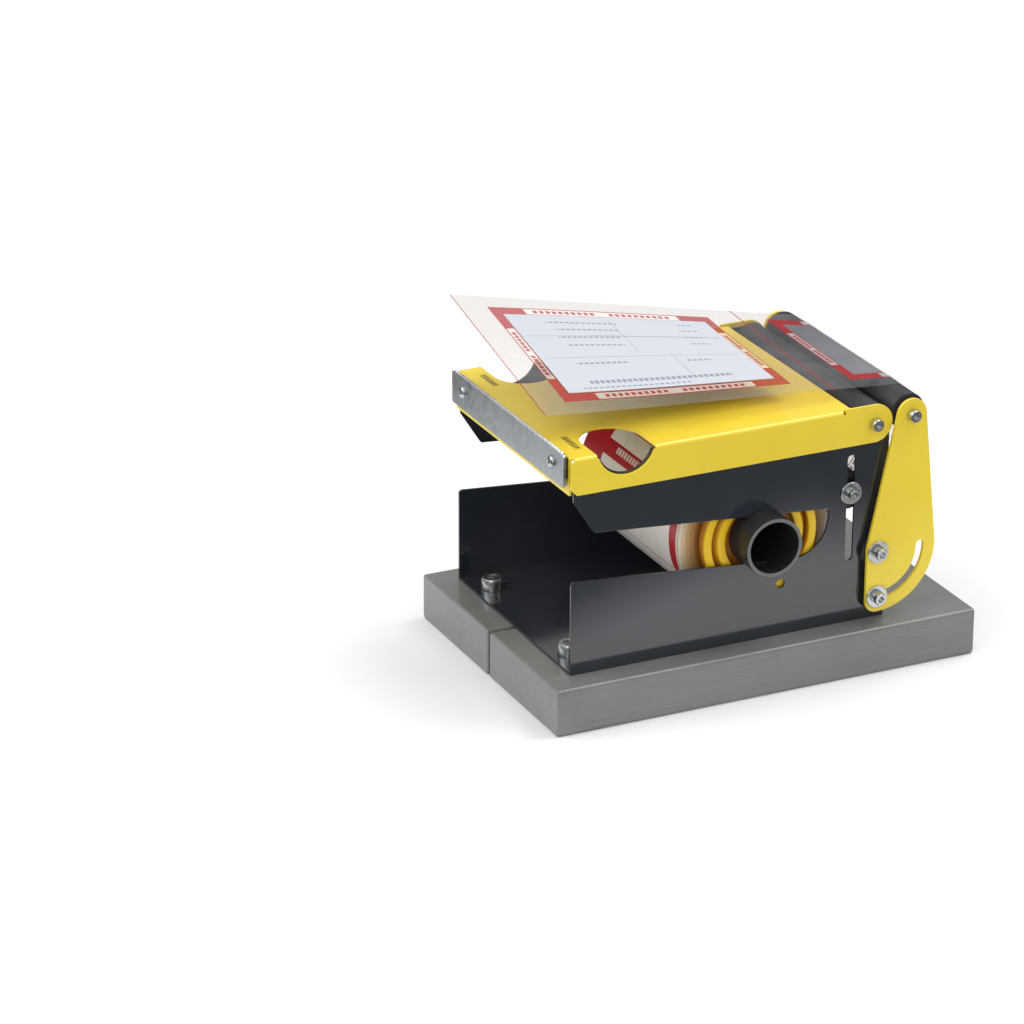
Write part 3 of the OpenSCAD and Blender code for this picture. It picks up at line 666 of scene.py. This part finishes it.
# %% [markdown]
# ## Rollers
#
# Each roller is a black plastic tube on a steel axle, satin from turning. Its skin has fine lathe rings,
# drawn about two millimetres apart so that they still show, as waves across X. The ends are chamfered,
# with a small recess around the axle.

# %% Roller material and rollers
RING_STEP_MM = 2
# A wave texture draws a little over three waves in the length that its scale stands for.
WAVES_IN_SCALE = 3.15
# Gives a satin black with fine rings around it.
roller_black, tree, shader = finish_named("turned_black_acetal", 0.4, IOR=1.48)
place = add(tree, "TexCoord").node.outputs["Object"]
rings = add(tree, "TexWave", {"Vector": place, "Scale": 1 / (WAVES_IN_SCALE * RING_STEP_MM * MM),
                              "Distortion": 0.6, "Detail": 1.0}, bands_direction="X")
wear(tree, shader, rings, ("#232427", "#2F3033"), None, 0.02, 0.5)
dulled = add(tree, "MapRange", {"Value": rings, "To Min": 0.33, "To Max": 0.46})
tree.links.new(dulled, shader.inputs["Roughness"])

ROLLER_BORE_R, RECESS_R, RECESS = 6.1, 9.5, 0.8


def roller(node):
    """A tube with chamfered, recessed ends, in the CAD roller's place and on the body of the same name."""
    low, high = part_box(node)
    half, r = high.x / MM, (high.y - low.y) / 2 / MM
    end = [(ROLLER_BORE_R, half - RECESS), (RECESS_R, half - RECESS), (RECESS_R + 0.4, half - 0.1),
           (RECESS_R + 0.7, half), (r - 0.9, half), (r - 0.25, half - 0.25), (r, half - 0.9)]
    profile = [(radius, -along) for radius, along in end] + [(r, 0)] + end[::-1]
    profile += [(ROLLER_BORE_R, RECESS - half)]
    piece = turned(node + "_tube", profile, 96)
    put(piece, (0, (low.y + high.y) / 2, (low.z + high.z) / 2), (0, 90, 0))
    stands_for(piece, [node], node, roller_black)


for node in ("front_roller", "rear_roller", "guide_roller"):
    roller(node)

# %% [markdown]
# ## Tube axle
#
# The axle is a black plastic pipe whose sawn ends show the grey of raw plastic. It is a softened copy of
# the CAD pipe, and its two end faces get a material of their own.

# %% Axle
# Gives a black with a long soft shine and faint scuffs along the pipe.
pipe_black, tree, shader = finish_named("black_pvc_pipe", 0.34, IOR=1.53)
scuffs = grain(tree, 4, 5, (6, 1, 1))
wear(tree, shader, scuffs, ("#1F2022", "#2A2B2D"), (0.28, 0.45), 0.015, 0.4)
# Gives the saw-cut ring at each end its lighter, duller grey.
pipe_cut, tree, shader = finish_named("sawn_pvc_edge", 0.5)
wear(tree, shader, grain(tree, 0.7, 3), ("#5A5C5E", "#75777A"), None, 0.04)

pipe = softened("tube_axle", "axle_pipe", 0.5, 2)
pipe.data.materials.clear()
pipe.data.materials.append(pipe_black)
pipe.data.materials.append(pipe_cut)
sawn_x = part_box("tube_axle")[1].x - 1 * MM
pick(pipe, "FACE", lambda f: abs(f.normal.x) > 0.9 and abs(f.center.x) > sawn_x)
pipe.active_material_index = 1
bpy.ops.object.material_slot_assign()
bpy.ops.object.mode_set(mode="OBJECT")
stands_for(pipe, ["tube_axle"], "axle")

# %% [markdown]
# ## Hubs
#
# The hubs are moulded in yellow plastic: their raised rings catch the light, and the grooves between them
# go to orange and brown, because light that gets down there bounces from yellow to yellow before it comes
# back. That shade is painted into the colour: a colour ramp on the distance from the middle plane paints
# it down the grooves and round the back of the flange.

# %% Hubs
DEEPEST_X, SHALLOW_X = 0.086, 0.097
# Gives bright yellow rings, and painted shade that goes to orange and brown down the grooves and round the
# back.
hub_yellow_with_painted_shade, tree, shader = finish_named("moulded_yellow_polypropylene_with_painted_shade", 0.34, IOR=1.49)
spot = place_on(tree)
apart = add(tree, "Math", {0: spot[0]}, operation="ABSOLUTE")
# Painted shade: the colour darkens from yellow to brown with the depth below the ring faces.
depth = add(tree, "MapRange", {"Value": apart, "From Min": DEEPEST_X, "From Max": SHALLOW_X})
depth = add(tree, "ValToRGB", {0: depth})
ramp = depth.node.color_ramp
ramp.elements[0].color, ramp.elements[1].color = paint_chart("#5E3312"), paint_chart("#E4BC1C")
for place, tint in ((0.35, "#A86518"), (0.8, "#BC7F1A"), (0.94, "#E0B41C")):
    ramp.elements.new(place).color = paint_chart(tint)
tree.links.new(depth, shader.inputs["Base Color"])
wear(tree, shader, grain(tree, 0.9, 2), depth_mm=0.01, strength=0.4)

# All in millimetres, as the turned profile is.
RING_WIDTH, RING_PITCH, RING_ROUND, GROOVE = 6.6, 11.5, 0.9, 7
PLUG_R, FLANGE_BACK, TUBE_FIT = 38.0, 85.1, 0.1
low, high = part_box("hub_right")
axis_y, axis_z = (low.y + high.y) / 2, (low.z + high.z) / 2
rim, face, inner = (high.y - low.y) / 2 / MM, high.x / MM, low.x / MM
tube_low, tube_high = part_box("tube_axle")
bore = (tube_high.y - tube_low.y) / 2 / MM + TUBE_FIT
steps = [(bore, inner), (PLUG_R, inner), (PLUG_R, FLANGE_BACK)]
steps += [(rim - 0.4, FLANGE_BACK), (rim, FLANGE_BACK + 0.4)]
for ring in (0, 1):
    outer_r = rim - ring * RING_PITCH
    inner_r = outer_r - RING_WIDTH
    steps += [(outer_r, face - RING_ROUND), (outer_r - 0.3, face - 0.3), (outer_r - RING_ROUND, face),
              (inner_r + RING_ROUND, face), (inner_r + 0.3, face - 0.3), (inner_r, face - RING_ROUND),
              (inner_r, face - GROOVE)]
steps += [(bore, face - GROOVE), (bore, inner)]
hub = turned("hub_right_ringed", steps, 128)
other_hub = twin(hub, "hub_left_ringed")
for piece, side, node in ((hub, 1, "hub_right"), (other_hub, -1, "hub_left")):
    put(piece, (0, axis_y, axis_z), (0, 90 * side, 0))
    stands_for(piece, [node], "roll", hub_yellow_with_painted_shade)

# %% [markdown]
# ## The film roll
#
# The roll is film wound on a cardboard core. Its ends aren't flat: some turns stand a little in and
# others out. So the end face is made in small steps, each at one of five depths, and the other end
# mirrors it.

# %% Roll
CORE_R, END_STEPS, END_DEPTH, DEPTHS = 43.2, 14, 0.55, 5
low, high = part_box("film_roll")
roll_r, roll_half = (high.y - low.y) / 2 / MM, high.x / MM
end = []
for step in range(END_STEPS + 1):
    r = CORE_R + (roll_r - 0.6 - CORE_R) * step / END_STEPS
    height = roll_half - END_DEPTH * ((step * 7) % DEPTHS) / (DEPTHS - 1)
    end += [(r, height), (min(r + 0.45, roll_r - 0.5), height)]
profile = [(CORE_R, 0)] + end + [(roll_r, roll_half - 0.7), (roll_r, 0)]
profile += [(roll_r, -roll_half + 0.7)] + [(r, -h) for r, h in reversed(end)] + [(CORE_R, 0)]
roll = turned("wound_film_roll", profile, 128)
put(roll, (0, axis_y, axis_z), (0, 90, 0))
print("roll of film,", round(2 * roll_r, 1), "mm across and", round(2 * roll_half, 1), "mm wide")

# %% [markdown]
# ## The roll's finish
#
# Seen from the side the roll is milky, because many clear layers lie on each other, with the red frame of
# the outer turn as a band near each end. Its end faces go from brown at the core to pale at the rim, in
# thin rings; the darkest brown, next to the hub, is painted shade. The print is placed by the distance
# around the roll, which is the angle about its axis times its radius.

# %% Film roll material
def printed(tree, masks, holes=()):
    """1 where one of the masks is 1 and none of the holes is."""
    total = masks[0]
    for mask in masks[1:]:
        total = add(tree, "Math", {0: total, 1: mask}, operation="MAXIMUM")
    for hole in holes:
        total = add(tree, "Math", {0: total, 1: hole}, operation="SUBTRACT", use_clamp=True)
    return total


LAYERS_MM = 1.3
BROWN_FROM_X, BROWN_TO_X = 0.0795, 0.085
# Gives a milky, warm white cylinder with the red print of the outer turn, and brown layered ends whose
# darkest brown, next to the hub, is painted shade.
wound_film, tree, shader = finish_named("wound_clear_film", 0.28, IOR=1.5)
spot = place_on(tree)
apart = add(tree, "Math", {0: spot[0]}, operation="ABSOLUTE")
off_y = add(tree, "Math", {0: spot[1], 1: axis_y}, operation="SUBTRACT")
off_z = add(tree, "Math", {0: spot[2], 1: axis_z}, operation="SUBTRACT")
angle = add(tree, "Math", {0: off_z, 1: off_y}, operation="ARCTAN2")
along = add(tree, "Math", {0: angle, 1: roll_r * MM}, operation="MULTIPLY")
radius = add(tree, "CombineXYZ", {1: off_y, 2: off_z})
radius = add(tree, "VectorMath", {0: radius}, operation="LENGTH").node.outputs["Value"]
layers = add(tree, "MapRange", {"Value": radius, "From Min": CORE_R * MM, "From Max": roll_r * MM})
milky = add(tree, "Mix", {0: grain(tree, 14, 3), 6: paint_chart("#DDD7CD"), 7: paint_chart("#EFEBE6")},
            data_type="RGBA").node.outputs[2]
near_end = add(tree, "MapRange", {"Value": apart, "From Min": BROWN_FROM_X, "From Max": BROWN_TO_X})
side_tone = add(tree, "Mix", {0: near_end, 6: milky, 7: paint_chart("#B08A54")}, data_type="RGBA")
side_tone = side_tone.node.outputs[2]
# Partly painted shade: the end faces darken to brown towards the core, beside the hub.
end_rings_and_painted_shade = add(tree, "ValToRGB", {0: layers})
ramp = end_rings_and_painted_shade.node.color_ramp
ramp.elements[0].color, ramp.elements[1].color = paint_chart("#8A5526"), paint_chart("#E9DDC6")
for place, tint in ((0.3, "#A97038"), (0.7, "#CDAE7C")):
    ramp.elements.new(place).color = paint_chart(tint)
at_end = add(tree, "Math", {0: apart, 1: (roll_half - 1.2) * MM}, operation="GREATER_THAN")
tone = add(tree, "Mix", {0: at_end, 6: side_tone, 7: end_rings_and_painted_shade}, data_type="RGBA").node.outputs[2]
hatch = add(tree, "Math", {0: spot[0], 1: 2.2 * MM}, operation="PINGPONG")
letters = inside(tree, (hatch, 0.8, 0.7), (along, 166, 2.6), (spot[0], -14, 22))
crossing = printed(tree, [inside(tree, (along, 167.5, 6.5), (spot[0], -20, 72))], [letters])
corner = inside(tree, (spot[0], -69, 16), (along, 162, 22))
thin = printed(tree, [inside(tree, (apart, 0, 66), (along, place, 0.5)) for place in (147, -172, 187)])
red_print = printed(tree, [inside(tree, (apart, 74, 5.5)), corner, crossing, thin], [at_end])
tone = add(tree, "Mix", {0: red_print, 6: tone, 7: paint_chart("#B32730")}, data_type="RGBA").node.outputs[2]
tree.links.new(tone, shader.inputs["Base Color"])
wraps = add(tree, "Math", {0: radius, 1: LAYERS_MM * MM}, operation="MODULO")
wraps = add(tree, "Math", {0: wraps, 1: 1 / (LAYERS_MM * MM)}, operation="MULTIPLY")
wear(tree, shader, inside(tree, wraps, at_end), depth_mm=0.15, strength=0.7)
stands_for(roll, ["film_roll"], "roll", wound_film)

# %% [markdown]
# ## The film that runs to the blade
#
# The film leaves the roll at the rear, goes up behind the rear roller, over it, across the front roller
# and out over the table, where its free end is held up. It is a grid whose rows follow that path. Each
# corner keeps its distance across and along the film as an attribute, so the print lies on the film
# however it bends. A slight wave keeps the sheet from looking like glass, and it dies out towards the
# roller and the free end.

# %% Path of the film
FILM_GAP, WAVE_HEIGHT = 0.7 * MM, 0.7 * MM
WAVE_ACROSS, WAVE_ALONG = 0.031, 0.052
CALM_AT_ROLLER, CALM_AT_END = 0.05, 0.04
RISE_LEFT, RISE_RIGHT = 0.21, 0.078
FLAT_PART, ROUND_PART = 0.15, 0.45
low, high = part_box("front_roller")
front_y = (low.y + high.y) / 2
low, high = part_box("rear_roller")
rear_y, rear_z, rear_r = (low.y + high.y) / 2, (low.z + high.z) / 2, (high.z - low.z) / 2
low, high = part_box("film_tongue")
film_left, film_right, free_y = low.x, high.x, low.y
wrap_r = rear_r + FILM_GAP
gap_y, gap_z = rear_y - axis_y, rear_z - axis_z
reach = math.hypot(gap_y, gap_z)
bend_down = math.acos((roll_r * MM - rear_r) / reach)
leave = math.atan2(gap_z, gap_y) - bend_down
run_down = reach * math.sin(bend_down)
print("the film runs straight for", round(run_down / MM), "mm between the roll and the rear roller")


def rise_at(x):
    """How steeply the film climbs towards its free end, at a place across it."""
    return RISE_LEFT + (RISE_RIGHT - RISE_LEFT) * (x - film_left) / (film_right - film_left)


def over_table(x, y):
    """Height of the film between the rear roller and its free end, with a slight wave in it."""
    slope = rise_at(x)
    wave = WAVE_HEIGHT * math.sin((x - film_left) / WAVE_ACROSS) * math.sin((y - free_y) / WAVE_ALONG)
    calm = min(1, max(0, (front_y - y) / CALM_AT_ROLLER)) * min(1, (y - free_y) / CALM_AT_END)
    return rear_z + wrap_r * math.hypot(1, slope) + (rear_y - y) * slope + wave * calm


def behind(x, step):
    """A point of the film from front roller (step 0) to roll (step 1), and its distance from the free end."""
    slope = rise_at(x)
    start = math.pi / 2 - math.atan(slope)
    top_y = rear_y + wrap_r * math.cos(start)
    if step <= FLAT_PART:
        y = front_y + (top_y - front_y) * step / FLAT_PART
        return (x, y, over_table(x, y)), y - free_y
    turn = min(1, (step - FLAT_PART) / ROUND_PART) * (start - leave)
    y, z = rear_y + wrap_r * math.cos(start - turn), rear_z + wrap_r * math.sin(start - turn)
    length = top_y - free_y + wrap_r * turn
    down = max(0, step - FLAT_PART - ROUND_PART) / (1 - FLAT_PART - ROUND_PART) * run_down
    y, z = y + down * math.sin(leave), z - down * math.cos(leave)
    return (x, y, z), length + down


def film_sheet(name, columns, rows, place, thickness_mm):
    """A grid bent to a path, with the attribute print_place, closed to a thin solid."""
    bpy.ops.object.select_all(action="DESELECT")
    bpy.ops.mesh.primitive_grid_add(x_subdivisions=columns, y_subdivisions=rows, size=1)
    piece = bpy.context.object
    piece.name = piece.data.name = name
    spots = piece.data.attributes.new("print_place", "FLOAT_VECTOR", "POINT")
    for corner, mark in zip(piece.data.vertices, spots.data):
        spot, mark.vector = place(corner.co.x + 0.5, corner.co.y + 0.5)
        corner.co = spot
    pick(piece, "FACE", lambda f: True)
    bpy.ops.mesh.normals_make_consistent(inside=False)
    bpy.ops.object.mode_set(mode="OBJECT")
    apply(piece, "SOLIDIFY", thickness=thickness_mm * MM, offset=0)
    smooth(piece, 60)
    return piece


def tongue_place(s, t):
    """The film over the table: s from 0 to 1 across it, t from its free end to the front roller."""
    x, y = film_left + (film_right - film_left) * s, free_y + (front_y - free_y) * t
    return (x, y, over_table(x, y)), (x - (film_left + film_right) / 2, y - free_y, 0)


def web_place(s, t):
    """The film over the rollers: s from 0 to 1 across it, t from the front roller to the roll."""
    x = film_left + (film_right - film_left) * s
    spot, length = behind(x, t)
    return spot, (x - (film_left + film_right) / 2, length, 0)

# %% [markdown]
# ## The film's print
#
# The film is clear, slightly hazy plastic. Every 242 mm it is printed with a frame: a red band with solid
# corners, and white fields in the middle of each side that carry red marks. The marks here are plain
# bars. Each mask is made of comparisons on the distance across and the distance along, which repeats by a
# modulo. Printing also decides how much shows through: ink covers well, and the bare film is a little
# bluish haze over a clear, faintly straw-coloured sheet, which is why it looks beige over white and
# blue-grey over the black rollers.

# %% Film material
PITCH, FRAME_MIDDLE = 242, 119
SIDE_FIELD, END_FIELD = 62.5, 90.8
SIDE_BEAT_MM, END_BEAT_MM = 5.4, 2.4
# Gives a clear sheet with a light haze, a red frame with white fields, and a wavy shine.
pouch_film, tree, shader = finish_named("printed_polythene_film", 0.16, IOR=1.5)
spot = place_on(tree, "print_place")
u = add(tree, "Math", {0: spot[0]}, operation="ABSOLUTE")
v = add(tree, "Math", {0: spot[1], 1: PITCH * MM}, operation="MODULO")
from_middle = add(tree, "Math", {0: v, 1: FRAME_MIDDLE * MM}, operation="SUBTRACT")
w = add(tree, "Math", {0: from_middle}, operation="ABSOLUTE")
frame_in = inside(tree, (u, 0, 57), (w, 0, 86.5))
fields = printed(tree, [inside(tree, (u, SIDE_FIELD, 4.2), (w, 0, 66)),
                        inside(tree, (w, END_FIELD, 3.2), (u, 0, 36))])
beat_long = add(tree, "Math", {0: v, 1: SIDE_BEAT_MM * MM}, operation="MODULO")
beat_short = add(tree, "Math", {0: spot[0], 1: END_BEAT_MM * MM}, operation="PINGPONG")
marks = printed(tree, [inside(tree, (beat_long, 2.4, 1.7), (u, SIDE_FIELD, 2.1), (w, 32, 27)),
                       inside(tree, (beat_short, 1.0, 0.85), (w, END_FIELD, 1.7), (u, 17, 14))])
band = printed(tree, [inside(tree, (u, 0, 68), (w, 0, 95))], [frame_in, fields])
red_ink = printed(tree, [band, marks, inside(tree, (v, 0.3, 0.5)), inside(tree, (v, PITCH, 0.4))])
white_ink = printed(tree, [fields], [marks])
clouds = grain(tree, 30, 3, (1, 3, 1))
haze = add(tree, "MapRange", {"Value": clouds, "From Min": LOW_NOISE, "From Max": HIGH_NOISE})
bare = add(tree, "Mix", {0: haze, 6: paint_chart("#B7BCC6"), 7: paint_chart("#D0D4DA")}, data_type="RGBA")
bare = bare.node.outputs[2]
tone = add(tree, "Mix", {0: white_ink, 6: bare, 7: paint_chart("#F1EFEC")}, data_type="RGBA").node.outputs[2]
tone = add(tree, "Mix", {0: red_ink, 6: tone, 7: paint_chart("#B41F2B")}, data_type="RGBA").node.outputs[2]
tree.links.new(tone, shader.inputs["Base Color"])
cover = add(tree, "MapRange", {"Value": haze, "To Min": 0.06, "To Max": 0.11})
cover = add(tree, "Mix", {0: frame_in, 2: cover, 3: 0.2}, data_type="FLOAT")
cover = add(tree, "Mix", {0: white_ink, 2: cover, 3: 0.3}, data_type="FLOAT")
cover = add(tree, "Mix", {0: red_ink, 2: cover, 3: 0.6}, data_type="FLOAT")
clear = add(tree, "BsdfTransparent", {0: (0.945, 0.925, 0.905, 1)})
skin = add(tree, "MixShader", {0: cover, 1: clear, 2: shader.outputs[0]})
tree.links.new(skin, tree.nodes["Material Output"].inputs["Surface"])
wear(tree, shader, grain(tree, 9, 2, (1, 4, 1)), depth_mm=0.1, strength=0.5)
print("the print repeats every", PITCH, "mm")

# %% [markdown]
# ## Two lengths of film
#
# The film is made as two sheets that meet over the front roller, about which the table swings: one lies over
# the table, and the other runs over the rollers to the roll.

# %% Film over the table and over the rollers
FILM_T_MM = 0.15
tongue = film_sheet("film_over_table", 32, 56, tongue_place, FILM_T_MM)
tongue.data.materials.append(pouch_film)
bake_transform(tongue)
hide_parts("film_tongue")

web = film_sheet("film_over_rollers", 32, 72, web_place, FILM_T_MM)
web.data.materials.append(pouch_film)
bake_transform(web)
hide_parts("film_web")
print("film pieces:", len(tongue.data.polygons), "and", len(web.data.polygons), "faces")

# %% [markdown]
# ## The document
#
# A sheet of plain paper lies on the film inside the printed frame. It has the faint grey rules and bars
# of a delivery form with nothing written on it, and one edge is torn along a perforation. It follows the
# film's own slope, a little above it.

# %% Document
PAPER_HALF_W, PAPER_T_MM = 57 * MM, 0.12
TEAR_DEPTH, TEETH = 0.5 * MM, 86
ABOVE_FILM = 0.55 * MM
low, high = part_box("document")
paper_mid_x = (low.x + high.x) / 2
paper_front, paper_back = free_y + 32.5 * MM, free_y + 205.5 * MM


def paper_place(s, t):
    """The document: s from 0 to 1 across it, t from its front edge to its back edge; torn where s is 0."""
    x = paper_mid_x + PAPER_HALF_W * (2 * s - 1)
    y = paper_front + (paper_back - paper_front) * t
    spot = (x - paper_mid_x, y - paper_front, 0)
    if s == 0:
        x += TEAR_DEPTH * math.cos(t * 2 * TEETH * math.pi)
    return (x, y, over_table(x, y) + ABOVE_FILM), spot


paper = film_sheet("document_sheet", 24, 86, paper_place, PAPER_T_MM)

# Each is a middle and half width across the sheet, then the same along it, in millimetres.
RULES = ((-24, 26, 86, 0.25), (8, 0.25, 86, 82), (-24.5, 0.25, 112, 56), (-24, 0.25, 86, 82),
         (24, 20, 112, 0.25))
BARS = ((-44, 2.2, 84, 60), (-17, 1.2, 48, 22), (10, 1.0, 56, 24), (22, 1.0, 56, 26), (34, 1.0, 60, 26),
        (45, 1.0, 60, 30), (-52, 0.9, 60, 45), (-17, 1.2, 130, 10), (12, 0.9, 146, 8), (24, 0.9, 146, 8),
        (36, 0.9, 148, 8), (47, 0.9, 150, 6))
LINE_STEP_MM = 4.6
# Gives a matt, slightly bluish white with faint grey rules and bars.
office_paper, tree, shader = finish_named("uncoated_office_paper", 0.75)
spot = place_on(tree, "print_place")
fibres = grain(tree, 1.2, 4)
tone = add(tree, "Mix", {0: fibres, 6: paint_chart("#B8BCC5"), 7: paint_chart("#C2C6CE")}, data_type="RGBA")
ink = []
for across_mm, half_a, along_mm, half_l in RULES:
    ink.append(inside(tree, (spot[0], across_mm, half_a), (spot[1], along_mm, half_l)))
beat = add(tree, "Math", {0: spot[1], 1: LINE_STEP_MM * MM}, operation="MODULO")
for across_mm, half_a, along_mm, half_l in BARS:
    ink.append(inside(tree, (spot[0], -across_mm, half_a), (spot[1], along_mm, half_l), (beat, 2, 1.6)))
worn = add(tree, "MapRange", {"Value": fibres, "From Min": LOW_NOISE, "From Max": HIGH_NOISE,
                              "To Min": 0.5, "To Max": 0.7})
faint_ink = inside(tree, printed(tree, ink), worn)
tone = add(tree, "Mix", {0: faint_ink, 6: tone.node.outputs[2], 7: paint_chart("#4D5468")}, data_type="RGBA")
tree.links.new(tone.node.outputs[2], shader.inputs["Base Color"])
wear(tree, shader, fibres, depth_mm=0.02, strength=0.5)
stands_for(paper, ["document"], "table", office_paper)

# %% [markdown]
# ## CAD pieces that stay
#
# Axles, nuts, spacers and the core already have the right shape, and only small parts of them show. They stay
# as the CAD model made them. The nuts take the zinc plate, and the others get drawn bright steel, black
# plastic and kraft board.

# %% Finishes for the CAD pieces that stay
# Gives grey steel with fine drawing lines along the axle.
drawn_steel, tree, shader = finish_named("drawn_bright_steel", 0.3, 1.0)
wear(tree, shader, grain(tree, 0.8, 3, (30, 1, 1)), ("#9B9EA1", "#BEC1C3"), None, 0.01, 0.5)
# Gives a dull black with a fine moulded texture.
spacer_black, tree, shader = finish_named("moulded_black_nylon", 0.45)
wear(tree, shader, grain(tree, 1.2, 3), ("#17181A", "#232427"), None, 0.01)
# Gives brown board with fibres that run around the core.
kraft, tree, shader = finish_named("spiral_wound_kraft_board", 0.85)
wear(tree, shader, grain(tree, 1.5, 4, (1, 6, 1)), ("#9C7443", "#BE9765"), None, 0.08)

for node, material in (("front_roller_axle", drawn_steel), ("rear_roller_axle", drawn_steel),
                       ("guide_axle", drawn_steel), ("blade_nuts", zinc_plate), ("pivot_nuts", zinc_plate),
                       ("lock_nuts", zinc_plate), ("pivot_spacers", spacer_black), ("cardboard_core", kraft)):
    for material_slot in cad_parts[node].material_slots:
        material_slot.material = material
    print(node, "keeps its CAD shape")

# %% [markdown]
# ## The box of what is seen
#
# The box of all that is seen should be the box of the CAD model. The box of what is seen is printed.

# %% The box of what is seen
low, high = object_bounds()
print("visual box in mm:", [round(v / MM, 1) for v in (*low, *high)])
